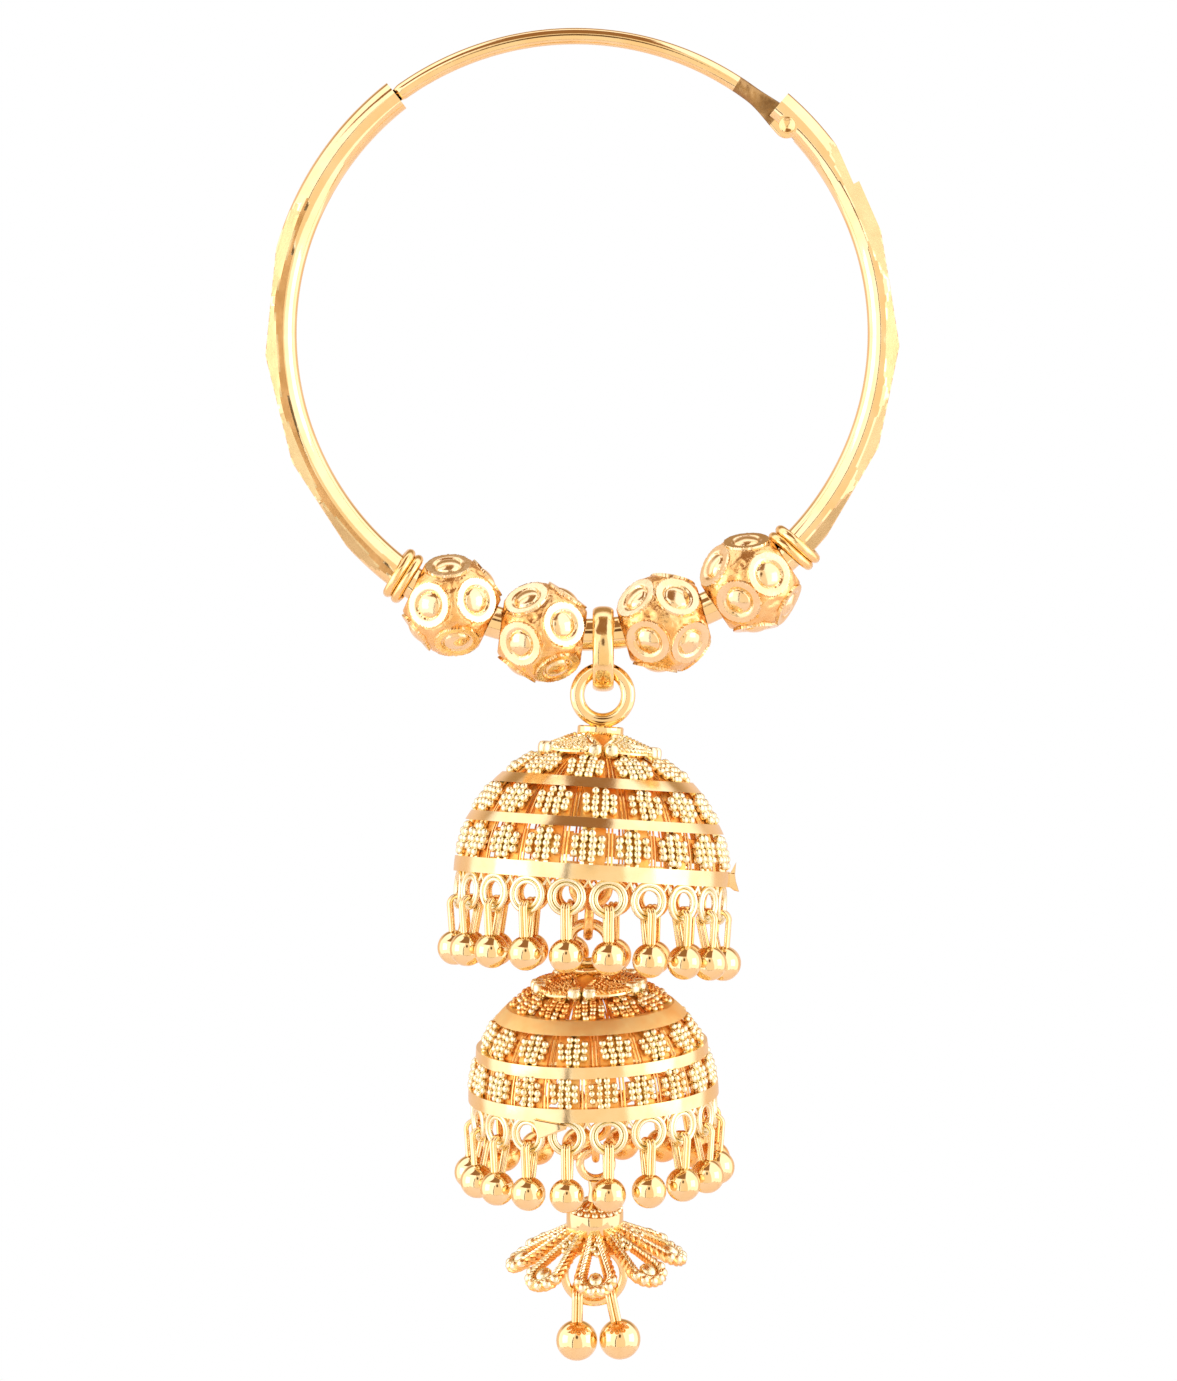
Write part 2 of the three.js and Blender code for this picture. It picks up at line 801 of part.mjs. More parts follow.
// Puts a mesh on the tube's middle line, at an angle from the hoop's lowest point
function onTube(made, angle) {
  made.position.copy(polar(angle - 90, hoopRadius));
  made.rotation.y = radians(-angle);
  hoop.add(made);
}
beads.forEach((row, i) => onTube(mesh(`bead_${i + 1}`, bead(row), gold.burnished), row.at));
const lastBead = beads[beads.length - 1];
onTube(mesh("stop_coil_left", stopCoil(), gold.bright), beads[0].at - stopSpacing);
onTube(mesh("stop_coil_right", stopCoil(), gold.bright), lastBead.at + stopSpacing);

// Bail, hung over the tube
const bailDrop = (bailInner - tubeDiameter) / 2 - bailClearance;
const bailTurn = groupAt(hoop, polar(bailAt - 90, hoopRadius));
const bailMesh = mesh("bail", bail(), gold.bright);
bailMesh.position.z = -bailDrop;
bailTurn.add(bailMesh);

// Upper dome, hung over the bail
const upperEye = { inner: upperEyeInner, wire: upperEyeWire, drop: 0.4 };
const upperHang = bailDrop + (bailInner + bailThickness) / 2;
const upper = groupAt(bailTurn, new THREE.Vector3(0, 0, -upperHang));
upper.rotation.y = radians(upperRoll);
upper.add(mesh("upper_dome", domeBody(upperDome, upperEye), gold.filigree));

// Link between the domes, over the upper dome's inner loop
const tierTurn = groupAt(
  upper,
  new THREE.Vector3(0, 0, -upperDome.loopDrop),
);
tierTurn.rotation.x = radians(lowerTilt);
const tierDrop = hangDrop(tierLink.inner, upperDome.loopWire);
const tierMesh = mesh("tier_link", solid(ringAboutX(tierLink.inner, tierLink.wire)), gold.bright);
tierMesh.position.z = -tierDrop;
tierTurn.add(tierMesh);

// Lower dome
const lowerHang = tierDrop + (tierLink.inner + tierLink.wire) / 2;
const lower = groupAt(tierTurn, new THREE.Vector3(0, 0, -lowerHang));
lower.rotation.y = radians(lowerRoll);
const lowerEye = {
  inner: lowerEyeInner,
  wire: lowerEyeWire,
  drop: hangDrop(lowerEyeInner, tierLink.wire),
};
lower.add(mesh("lower_dome", domeBody(lowerDome, lowerEye), gold.filigree));

// Link to the star
const starTurn = groupAt(
  lower,
  new THREE.Vector3(0, 0, -lowerDome.loopDrop),
);
starTurn.rotation.x = radians(starTilt);
const starLinkDrop = hangDrop(starLink.inner, lowerDome.loopWire);
const starLinkMesh = mesh(
  "star_link",
  solid(ringAboutX(starLink.inner, starLink.wire)),
  gold.bright,
);
starLinkMesh.position.z = -starLinkDrop;
starTurn.add(starLinkMesh);

// Star flower
const starHang = starLinkDrop + (starLink.inner + starLink.wire) / 2;
const star = groupAt(starTurn, new THREE.Vector3(0, 0, -starHang));
star.rotation.y = radians(starRoll);
const starEye = {
  inner: starEyeInner,
  wire: starEyeWire,
  drop: hangDrop(starEyeInner, starLink.wire),
};
star.add(mesh("star_flower", starFlower(starEye), gold.filigree));

// Adds a drop that hangs from a point, with its loop's plane at an azimuth; outward is its lean
// in that plane, and sideways its lean square to it
function hangDropAt(name, place, { azimuth, outward = 0, sideways = 0 }, sizes, over) {
  const made = mesh(name, drop(sizes, over), gold.bright);
  made.position.copy(place);
  made.rotation.set(radians(sideways), -radians(outward), radians(azimuth), "ZYX");
  earring.add(made);
}

// The lowest point of the wire of a ring that stands about an axis, once its group has turned
function lowestOn(group, centre, axis, radius) {
  const middle = centre.clone().applyMatrix4(group.matrixWorld);
  const normal = axis.clone().transformDirection(group.matrixWorld);
  const down = new THREE.Vector3(0, 0, -1);
  down.addScaledVector(normal, -down.dot(normal)).normalize();
  return middle.addScaledVector(down, radius);
}

function hangRimDrops(prefix, group, dome) {
  rimLoopPlaces(dome).forEach(({ azimuth, radius, drop: fall }, i) => {
    const turn = radians(azimuth);
    const outward = new THREE.Vector3(Math.cos(turn), Math.sin(turn), 0);
    const centre = outward.clone().multiplyScalar(radius).setZ(-fall);
    const place = lowestOn(group, centre, outward, (rimLoopDiameter - rimWire) / 2);
    const name = `${prefix}_${String(i + 1).padStart(2, "0")}`;
    hangDropAt(name, place, { azimuth, outward: rimDropSplay }, rimDrop, rimWire);
  });
}

earring.updateMatrixWorld(true);
hangRimDrops("upper_drop", upper, upperDome);
hangRimDrops("lower_drop", lower, lowerDome);

starDrops.forEach(({ sideways, lean }, i) => {
  const middle = (starRingInner + starRingWire) / 2;
  const below = Math.sqrt(middle ** 2 - sideways ** 2);
  const place = new THREE.Vector3(sideways, 0, -starRingDrop() - below);
  place.applyMatrix4(star.matrixWorld);
  const pose = { azimuth: -90, sideways: lean };
  hangDropAt(`bottom_drop_${i + 1}`, place, pose, starDrop, starRingWire + starDropSlack);
});

export default earring;
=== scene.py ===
import json
import math
import random

import bmesh
import bpy
import numpy as np
from mathutils import Matrix, Vector


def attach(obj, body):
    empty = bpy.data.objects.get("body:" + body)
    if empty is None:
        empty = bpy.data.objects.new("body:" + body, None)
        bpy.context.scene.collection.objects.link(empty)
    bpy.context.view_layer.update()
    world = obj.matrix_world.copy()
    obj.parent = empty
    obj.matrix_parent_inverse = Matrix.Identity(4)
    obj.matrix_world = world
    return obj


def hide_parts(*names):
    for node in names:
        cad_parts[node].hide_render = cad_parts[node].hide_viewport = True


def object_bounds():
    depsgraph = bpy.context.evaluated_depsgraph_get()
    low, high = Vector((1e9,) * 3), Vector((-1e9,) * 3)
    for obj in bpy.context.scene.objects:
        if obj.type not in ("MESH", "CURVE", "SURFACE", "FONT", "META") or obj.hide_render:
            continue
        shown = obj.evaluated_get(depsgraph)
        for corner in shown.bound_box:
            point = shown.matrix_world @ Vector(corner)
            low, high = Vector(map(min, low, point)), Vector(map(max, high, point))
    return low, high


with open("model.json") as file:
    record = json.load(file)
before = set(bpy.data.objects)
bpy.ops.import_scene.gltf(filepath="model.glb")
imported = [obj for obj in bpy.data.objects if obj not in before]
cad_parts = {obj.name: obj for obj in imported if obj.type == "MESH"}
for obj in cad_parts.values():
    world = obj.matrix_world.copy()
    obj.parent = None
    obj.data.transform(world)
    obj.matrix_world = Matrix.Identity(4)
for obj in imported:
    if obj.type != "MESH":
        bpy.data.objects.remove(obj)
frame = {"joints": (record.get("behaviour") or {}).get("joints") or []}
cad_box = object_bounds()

# Sizes are in millimetres and degrees, and turn into metres where a mesh is made.
MM = 0.001
random.seed(7)

# The leans at rest, as in the solids
UPPER_ROLL = 3.5
LOWER_TILT = 11.2
LOWER_ROLL = -5.4
STAR_TILT = 8
STAR_ROLL = 2.9

# Hoop
HOOP_RADIUS = 14.24
TUBE_RADIUS = 0.76
MOUTH_ANGLE = 128
HINGE_END = 49.3
PIN_ANGLE = 45.4
PIN_RADIUS = 13.78
OUTER_FLATS = [[164.5, 184, 204, 222], [-39.5, -21.1, -2.2, 20.6]]
BEVEL_FLATS = [[155, 174, 194, 213, 230], [-48, -30.3, -11.7, 9.2, 38]]

BEADS = [
    {"at": -25.6, "left": -14, "right": 22},
    {"at": -7.6, "left": -21, "right": 15},
    {"at": 15.7, "left": -19, "right": 33},
    {"at": 33.9, "left": -12, "right": -4},
]
STOP_SPACING = 10.79

# Bands are (height over the ball's centre, width); rows are (flowers, turn of the first from the
# front, spacing of the granules across and up); looks are the golds of the topmost band and row
UPPER = {
    "radius": 6.53,
    "centre": 9.01,
    "collar": (1.88, 2.36, 1.09),
    "cap": (2.9, 3.04, 3.29),
    "cap_turn": 4,
    "eye": (1.73, 0.68, 0.4),
    "loop": (1.1, 0.5, 10.29),
    "bands": [(4.49, 0.47), (2.6, 0.46), (0.27, 0.72)],
    "leans": [0, 0.03, 0],
    "rows": [(10, -9, 0.45, 0.31), (15, 2, 0.43, 0.32), (18, -2.5, 0.43, 0.31)],
    "looks": {"band": 4, "cap": 1, "flower": 1},
    "rim": 20,
    "rim_turn": -1.2,
    "rim_below": 0.85,
}
LOWER = {
    "radius": 5.93,
    "centre": 7.7,
    "collar": (1.45, 1.85, 0.95),
    "cap": (2.73, 2.32, 2.57),
    "cap_turn": -8,
    "eye": (1.4, 0.5, 0.375),
    "loop": (0.8, 0.4, 9.81),
    "bands": [(4.11, 0.58), (2.22, 0.55), (0.26, 0.65)],
    "leans": [0, -0.09, 0],
    "rows": [(12, 0, 0.36, 0.24), (15, -9.5, 0.38, 0.29), (19, 6, 0.36, 0.29)],
    # The lower dome's cap and top row of flowers take the shaded gold, painted shade under the upper dome
    "looks": {"band": 5, "cap": 3, "flower": 3},
    "rim": 18,
    "rim_turn": -2.4,
    "rim_below": 0.73,
}
RIM_LOOP = 1.76
RIM_WIRE = 0.3
RIM_INSET = 0.1


# Meshes

class Shape:
    """Faces gathered into one mesh."""

    def __init__(self):
        self.points, self.faces, self.looks, self.count = [], [], [], 0

    def add(self, points, faces, look=0):
        points = np.asarray(points, float).reshape(-1, 3)
        self.points.append(points)
        self.faces.extend(tuple(i + self.count for i in f) for f in faces)
        self.looks.extend([look] * len(faces))
        self.count += len(points)

    def merge(self, other, matrix=None):
        points = np.concatenate(other.points)
        if matrix is not None:
            points = moved(points, matrix)
        self.points.append(points)
        self.faces.extend(tuple(i + self.count for i in f) for f in other.faces)
        self.looks.extend(other.looks)
        self.count += len(points)

    def mesh(self, name, materials, sharp=40):
        mesh = bpy.data.meshes.new(name)
        mesh.from_pydata((np.concatenate(self.points) * MM).tolist(), [], self.faces)
        for material in materials:
            mesh.materials.append(material)
        mesh.polygons.foreach_set("material_index", self.looks)
        mesh.polygons.foreach_set("use_smooth", [True] * len(self.faces))
        mesh.set_sharp_from_angle(angle=math.radians(sharp))
        mesh.update()
        return mesh


def moved(points, matrix):
    m = np.array(matrix)
    return np.asarray(points, float) @ m[:3, :3].T + m[:3, 3]


def turned(axis, degrees):
    return Matrix.Rotation(math.radians(degrees), 4, axis)


def at(x, y=0.0, z=0.0):
    return Matrix.Translation(Vector((x, y, z)) if not isinstance(x, Vector) else x)


def polar(angle, radius):
    """A point in the XZ plane."""
    turn = math.radians(angle)
    return np.array([radius * math.cos(turn), 0.0, radius * math.sin(turn)])


def loft(shape, rings, closed=False, look=0, capped=True):
    """Quads between rings of points, each ring a closed section."""
    rings = np.asarray(rings, float)
    n, k = rings.shape[:2]
    faces = []
    for i in range(n if closed else n - 1):
        a, b = i * k, ((i + 1) % n) * k
        faces += [(a + j, a + (j + 1) % k, b + (j + 1) % k, b + j) for j in range(k)]
    if capped and not closed:
        faces += [tuple(reversed(range(k))), tuple(range((n - 1) * k, n * k))]
    shape.add(rings, faces, look)


def oval(a, b, sides, power=2.0):
    """Points round a section; a power over 2 squares it."""
    turn = np.arange(sides) * 2 * math.pi / sides
    c, s = np.cos(turn), np.sin(turn)
    p = 2 / power
    return np.stack([a * np.sign(c) * abs(c) ** p, b * np.sign(s) * abs(s) ** p], 1)


def wire(shape, path, radius, sides=8, closed=False, look=0):
    """A round wire through points; radius can be a number for each point."""
    path = np.asarray(path, float)
    n = len(path)
    radius = np.broadcast_to(np.asarray(radius, float), (n,))
    ahead = np.roll(path, -1, 0) - path
    behind = path - np.roll(path, 1, 0)
    if not closed:
        ahead[-1], behind[0] = behind[-1], ahead[0]
    tangent = ahead / np.linalg.norm(ahead, axis=1)[:, None]
    tangent = tangent + behind / np.linalg.norm(behind, axis=1)[:, None]
    tangent /= np.linalg.norm(tangent, axis=1)[:, None]
    side = np.cross(tangent[0], [0.3, 0.5, 0.81])
    section = oval(1, 1, sides)
    rings = []
    for i in range(n):
        side = side - tangent[i] * side.dot(tangent[i])
        side = side / np.linalg.norm(side)
        up = np.cross(tangent[i], side)
        rings.append(path[i] + radius[i] * (section[:, :1] * side + section[:, 1:] * up))
    if closed:
        twist = math.atan2(np.cross(side, side0(tangent[0])).dot(tangent[0]), side.dot(side0(tangent[0])))
        for i in range(n):
            turn = Matrix.Rotation(twist * i / n, 3, Vector(tangent[i]))
            rings[i] = (rings[i] - path[i]) @ np.array(turn).T + path[i]
    loft(shape, rings, closed, look)


def side0(tangent):
    side = np.cross(tangent, [0.3, 0.5, 0.81])
    return side / np.linalg.norm(side)


def rope(shape, path, radius, pitch, look=0, sides=6, strands=2):
    """Wires twisted round each other along a path, as filigree wire is."""
    path = np.asarray(path, float)
    steps = np.linalg.norm(np.diff(path, axis=0), axis=1)
    length = np.concatenate([[0], np.cumsum(steps)])
    count = max(8, int(length[-1] / pitch * 8))
    where = np.linspace(0, length[-1], count + 1)
    middle = np.stack([np.interp(where, length, path[:, i]) for i in range(3)], 1)
    tangent = np.gradient(middle, axis=0)
    tangent /= np.linalg.norm(tangent, axis=1)[:, None]
    side = side0(tangent[0])
    across = []
    for t in tangent:
        side = side - t * side.dot(t)
        side = side / np.linalg.norm(side)
        across.append(side)
    across = np.array(across)
    up = np.cross(tangent, across)
    for s in range(strands):
        turn = where / pitch * 2 * math.pi + s * 2 * math.pi / strands
        offset = radius * 0.5 * (np.cos(turn)[:, None] * across + np.sin(turn)[:, None] * up)
        wire(shape, middle + offset, radius * 0.56, sides, look=look)


def ring(shape, inner, thick, centre=(0, 0, 0), about="Y", width=None, sides=12, steps=40, power=2.0, look=0):
    """A closed ring about an axis through its middle; width is its size along the axis."""
    section = oval(thick / 2, (width or thick) / 2, sides, power)
    middle = (inner + thick) / 2
    rings = []
    for i in range(steps):
        out = polar(360 * i / steps, 1)
        points = out * (middle + section[:, :1]) + np.array([0, 1, 0]) * section[:, 1:]
        rings.append(points)
    rings = np.array(rings)
    if about == "X":
        rings = rings[..., [1, 0, 2]][:, ::-1]
    loft(shape, rings + np.array(centre), True, look)


def lathe(shape, profile, steps=96, look=0, closed=True):
    """A section of (radius, height) pairs turned about Z."""
    profile = np.asarray(profile, float)
    rings = []
    for i in range(steps):
        turn = 2 * math.pi * i / steps
        r, z = profile[:, 0], profile[:, 1]
        rings.append(np.stack([r * math.cos(turn), r * math.sin(turn), z], 1))
    rings = np.array(rings)
    n, k = rings.shape[:2]
    faces = []
    for i in range(n):
        a, b = i * k, ((i + 1) % n) * k
        for j in range(k if closed else k - 1):
            faces.append((a + j, b + j, b + (j + 1) % k, a + (j + 1) % k))
    shape.add(rings, faces, look)


def icosphere():
    bm = bmesh.new()
    bmesh.ops.create_icosphere(bm, subdivisions=2, radius=1)
    points = np.array([v.co[:] for v in bm.verts])
    faces = [tuple(v.index for v in f.verts) for f in bm.faces]
    bm.free()
    return points, faces


GRAIN = icosphere()


def grain(shape, centre, diameter, look=0, stretch=None):
    points = GRAIN[0] * (diameter / 2)
    if stretch is not None:
        points = points @ np.array(stretch).T
    shape.add(points + np.asarray(centre), GRAIN[1], look)


def ball(shape, centre, diameter, look=0, segments=32, rows=20):
    rings = []
    for i in range(1, rows):
        tilt = math.pi * i / rows
        section = oval(math.sin(tilt), math.sin(tilt), segments)
        rings.append(np.column_stack([section, np.full(segments, -math.cos(tilt))]))
    loft(shape, np.array(rings) * diameter / 2 + np.array(centre), look=look)


# Materials

def gold(name, light, deep, rough, grain_mm, bump, spread=0.12, pits=0.0):
    """Gold with fine variation of colour and polish; sizes of the grain in millimetres."""
    material = bpy.data.materials.new(name)
    material.use_nodes = True
    nodes, links = material.node_tree.nodes, material.node_tree.links
    shader = nodes["Principled BSDF"]
    shader.inputs["Metallic"].default_value = 1.0
    where = nodes.new("ShaderNodeTexCoord")
    broad = nodes.new("ShaderNodeTexNoise")
    broad.inputs["Scale"].default_value = 900
    broad.inputs["Detail"].default_value = 3
    fine = nodes.new("ShaderNodeTexNoise")
    fine.inputs["Scale"].default_value = 1 / (grain_mm * MM)
    fine.inputs["Detail"].default_value = 4
    for noise in (broad, fine):
        links.new(where.outputs["Object"], noise.inputs["Vector"])
    tones = nodes.new("ShaderNodeValToRGB")
    tones.color_ramp.elements[0].position = 0.36
    tones.color_ramp.elements[0].color = (*deep, 1)
    tones.color_ramp.elements[1].position = 0.64
    tones.color_ramp.elements[1].color = (*light, 1)
    links.new(broad.outputs["Fac"], tones.inputs["Fac"])
    links.new(tones.outputs["Color"], shader.inputs["Base Color"])
    polish = nodes.new("ShaderNodeMapRange")
    polish.inputs["From Min"].default_value = 0.3
    polish.inputs["From Max"].default_value = 0.7
    polish.inputs["To Min"].default_value = max(rough - spread / 2, 0.03)
    polish.inputs["To Max"].default_value = rough + spread / 2
    links.new(fine.outputs["Fac"], polish.inputs["Value"])
    links.new(polish.outputs["Result"], shader.inputs["Roughness"])
    relief = nodes.new("ShaderNodeBump")
    relief.inputs["Strength"].default_value = bump
    relief.inputs["Distance"].default_value = grain_mm * MM * 0.25
    links.new(fine.outputs["Fac"], relief.inputs["Height"])
    last = relief
    if pits:
        dents = nodes.new("ShaderNodeTexVoronoi")
        dents.feature = "SMOOTH_F1"
        dents.inputs["Scale"].default_value = 1 / (0.28 * MM)
        links.new(where.outputs["Object"], dents.inputs["Vector"])
        last = nodes.new("ShaderNodeBump")
        last.inputs["Strength"].default_value = pits
        last.inputs["Distance"].default_value = 0.06 * MM
        links.new(dents.outputs["Distance"], last.inputs["Height"])
        links.new(relief.outputs["Normal"], last.inputs["Normal"])
    links.new(last.outputs["Normal"], shader.inputs["Normal"])
    return material


POLISHED = gold("polished_gold", (1.0, 0.79, 0.41), (0.99, 0.73, 0.34), 0.08, 0.5, 0.03, 0.04)
WIRE = gold("wire_gold", (1.0, 0.78, 0.38), (0.98, 0.69, 0.28), 0.14, 0.25, 0.08, 0.08)
# Rougher gold with its colour darkened, a painted dim reflection on the hoop's front and back flats
MATTE_PAINTED_DARK = gold("matte_painted_dark_gold", (0.74, 0.43, 0.15), (0.60, 0.33, 0.10), 0.34, 0.12, 0.30, 0.12)
# Gold darkened below the polished tone, a painted dim reflection on the hoop's bevel flats
FACET_PAINTED_DARK = gold("facet_painted_dark_gold", (0.76, 0.57, 0.25), (0.68, 0.50, 0.21), 0.30, 0.15, 0.20, 0.10)
# Dark gold painted on the ear wire's tab where it sits in the hinge slot, as painted shade; the pits are relief
SLOT_SHADE = gold("slot_shade_gold", (0.50, 0.30, 0.11), (0.24, 0.13, 0.045), 0.36, 0.10, 0.50, 0.15, pits=0.8)
BURNISHED = gold("burnished_gold", (1.0, 0.80, 0.46), (0.98, 0.72, 0.36), 0.15, 0.2, 0.12, 0.10)
HAMMERED = gold("hammered_gold", (1.0, 0.68, 0.28), (0.95, 0.53, 0.17), 0.24, 0.12, 0.40, 0.15, pits=0.8)
# Gold paler than the metal, painted light standing in for the highlights that the small granules catch
GRANULES_PAINTED_PALE = gold("granule_painted_pale_gold", (1.0, 0.94, 0.62), (1.0, 0.86, 0.50), 0.24, 0.15, 0.12, 0.10)
# Orange gold painted on backing plates and hollows as painted shade, standing in for the shade and glow between parts
RECESS_SHADE = gold("recess_shade_gold", (1.0, 0.56, 0.15), (1.0, 0.44, 0.09), 0.45, 0.14, 0.30, 0.15)
# A deeper, more orange copy of the gold, painted shade on parts at the back, inside the domes and under the upper dome
SHADED = gold("shaded_gold", (1.0, 0.66, 0.24), (0.98, 0.52, 0.15), 0.20, 0.2, 0.12, 0.10)
STRIP = gold("strip_gold", (1.0, 0.79, 0.41), (0.99, 0.73, 0.34), 0.15, 0.4, 0.04, 0.05)
SATIN = gold("satin_gold", (1.0, 0.76, 0.32), (1.0, 0.66, 0.24), 0.50, 0.3, 0.12, 0.10)


# Placing

def put(mesh, name, place, body, nodes):
    obj = bpy.data.objects.new(name, mesh)
    bpy.context.scene.collection.objects.link(obj)
    matrix = place.copy()
    matrix.translation *= MM
    obj.matrix_world = matrix
    bpy.context.view_layer.update()
    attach(obj, body)
    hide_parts(*nodes)
    return obj


pivots = {j["child"]: Vector(j["pos_m"]) / MM for j in frame["joints"]}
pin_place = pivots["ear_wire"]
hoop_place = at(Vector((0, 0, pin_place.z - PIN_RADIUS * math.sin(math.radians(PIN_ANGLE)))))
upper_place = at(pivots["upper_jhumka"]) @ turned("Y", UPPER_ROLL)
tier_turn = turned("Y", UPPER_ROLL) @ turned("X", LOWER_TILT)
tier_place = at(pivots["tier_link"]) @ tier_turn
lower_turn = tier_turn @ turned("Y", LOWER_ROLL)
lower_place = at(pivots["lower_jhumka"]) @ lower_turn
star_link_turn = lower_turn @ turned("X", STAR_TILT)
star_link_place = at(pivots["star_link"]) @ star_link_turn
star_place = at(pivots["star_drop"]) @ star_link_turn @ turned("Y", STAR_ROLL)


# Hoop tube

def flat_planes():
    """The planes of the diamond-cut flats: an outward direction and a distance."""
    planes = []
    for corners in OUTER_FLATS:
        for a, b in zip(corners, corners[1:]):
            half = math.radians((b - a) / 2)
            planes.append((polar((a + b) / 2, 1), (HOOP_RADIUS + TUBE_RADIUS) * math.cos(half), a, b))
    lean = math.radians(45)
    for corners in BEVEL_FLATS:
        for a, b in zip(corners, corners[1:]):
            half = math.radians((b - a) / 2)
            for side in (-1, 1):
                out = polar((a + b) / 2, math.cos(lean)) + np.array([0, side * math.sin(lean), 0])
                reach = HOOP_RADIUS * math.cos(lean) * math.cos(half) + TUBE_RADIUS
                planes.append((out, reach, a, b))
    return planes


def hoop_tube():
    sides = 40
    section = oval(TUBE_RADIUS, TUBE_RADIUS, sides)
    angles = np.linspace(MOUTH_ANGLE, HINGE_END + 360, 480)
    rings = []
    for angle in angles:
        out = polar(angle, 1)
        rings.append(out * (HOOP_RADIUS + section[:, :1]) + np.array([0, 1, 0]) * section[:, 1:])
    rings = np.array(rings)
    # Faces marked 1 lie on the front and back flats and take the matte gold; those marked 2 lie on the bevel flats and
    # take the facet gold. Both golds are darkened as painted dim reflections
    cuts = np.zeros(rings.shape[:2], int)
    for out, reach, a, b in flat_planes():
        over = np.maximum(rings @ out - reach, 0)
        rings = rings - over[..., None] * out
        if abs(out[1]) > 0.1:
            cuts[over > 1e-4] = 2
    for i, angle in enumerate(angles):
        if 152 < angle < 236:
            fade = min(1, (angle - 152) / 14, (236 - angle) / 8)
            lean = math.radians(79 - 0.2 * max(0, angle - 188))
            for side in (-1, 1):
                out = polar(angle, math.cos(lean)) + np.array([0, side * math.sin(lean), 0])
                over = np.maximum((rings[i] - polar(angle, HOOP_RADIUS)) @ out - (TUBE_RADIUS - 0.05 * fade), 0)
                rings[i] = rings[i] - over[:, None] * out
                cuts[i][over > 1e-4] = 1
    shape = Shape()
    start = rings[0].mean(0)
    inner = start + (rings[0] - start) * 0.58 / TUBE_RADIUS
    deep = inner + polar(MOUTH_ANGLE + 90, 1.5)
    loft(shape, np.concatenate([[deep, inner], rings]))
    corners = np.stack([cuts[:-1], cuts[1:], np.roll(cuts[:-1], -1, 1), np.roll(cuts[1:], -1, 1)])
    looks = np.where(corners.min(0) > 0, corners.max(0), 0)
    shape.looks[2 * sides:2 * sides + looks.size] = looks.ravel().tolist()
    return shape


def sector(inner, outer, a, b, thick):
    """A plate between two radii and two angles in the XZ plane."""
    shape = Shape()
    rings = []
    for angle in np.linspace(a, b, 24):
        low, high = polar(angle, inner), polar(angle, outer)
        y = np.array([0, thick / 2, 0])
        rings.append([low - y, high - y, high + y, low + y])
    loft(shape, rings)
    return shape


def disc_rod(diameter, low, high, place):
    shape = Shape()
    section = oval(diameter / 2, diameter / 2, 32)
    rings = [np.column_stack([section[:, 0], np.full(32, y), section[:, 1]]) + place for y in (low, high)]
    loft(shape, rings)
    return shape


def cut(obj, cutters):
    for cutter in cutters:
        tool = bpy.data.objects.new("cutter", cutter.mesh("cutter", []))
        bpy.context.scene.collection.objects.link(tool)
        weld = tool.data
        bm = bmesh.new()
        bm.from_mesh(weld)
        bmesh.ops.recalc_face_normals(bm, faces=bm.faces)
        bm.to_mesh(weld)
        bm.free()
        modifier = obj.modifiers.new("cut", "BOOLEAN")
        modifier.operation = "DIFFERENCE"
        modifier.solver = "EXACT"
        modifier.object = tool
        graph = bpy.context.evaluated_depsgraph_get()
        made = bpy.data.meshes.new_from_object(obj.evaluated_get(graph))
        obj.modifiers.clear()
        obj.data = made
        bpy.data.objects.remove(tool)


def welded(mesh):
    bm = bmesh.new()
    bm.from_mesh(mesh)
    bmesh.ops.remove_doubles(bm, verts=bm.verts, dist=1e-7)
    bmesh.ops.recalc_face_normals(bm, faces=bm.faces)
    bm.to_mesh(mesh)
    bm.free()
    return mesh


pin_local = polar(PIN_ANGLE, PIN_RADIUS)
tube = bpy.data.objects.new("tube_cut", welded(hoop_tube().mesh("hoop_tube_shell", [POLISHED, MATTE_PAINTED_DARK, FACET_PAINTED_DARK], 12)))
bpy.context.scene.collection.objects.link(tube)
cut(tube, [
    sector(HOOP_RADIUS - 1.5, HOOP_RADIUS + 1.5, 42.3, 56, 0.6),
    sector(HOOP_RADIUS - 0.35, HOOP_RADIUS + 1.5, 28.8, 56, 0.6),
    disc_rod(1.0, 0.58, 2, pin_local),
    disc_rod(1.0, -2, -0.58, pin_local),
])
tube_mesh = tube.data
tube_mesh.set_sharp_from_angle(angle=math.radians(12))
bpy.data.objects.remove(tube)
put(tube_mesh, "hoop_tube_polished", hoop_place, "hoop", ["hoop_tube"])


# Rivet, ear wire

pin = Shape()
head = [(0, 0.62), (0.14, 0.63), (0.26, 0.70), (0.33, 0.73), (0.385, 0.71), (0.4, 0.66), (0.385, 0.62), (0.25, 0.62)]
profile = [(r, z) for r, z in head] + [(r, -z) for r, z in reversed(head)]
lathe(pin, profile, 40, closed=False)
put(pin.mesh("hinge_pin", [WIRE]), "hinge_pin_cupped", at(pin_place) @ turned("X", 90), "hoop", ["hinge_pin"])


def wire_middle(angle):
    share = (angle - PIN_ANGLE) / (MOUTH_ANGLE - PIN_ANGLE)
    return PIN_RADIUS + (HOOP_RADIUS - PIN_RADIUS) * share


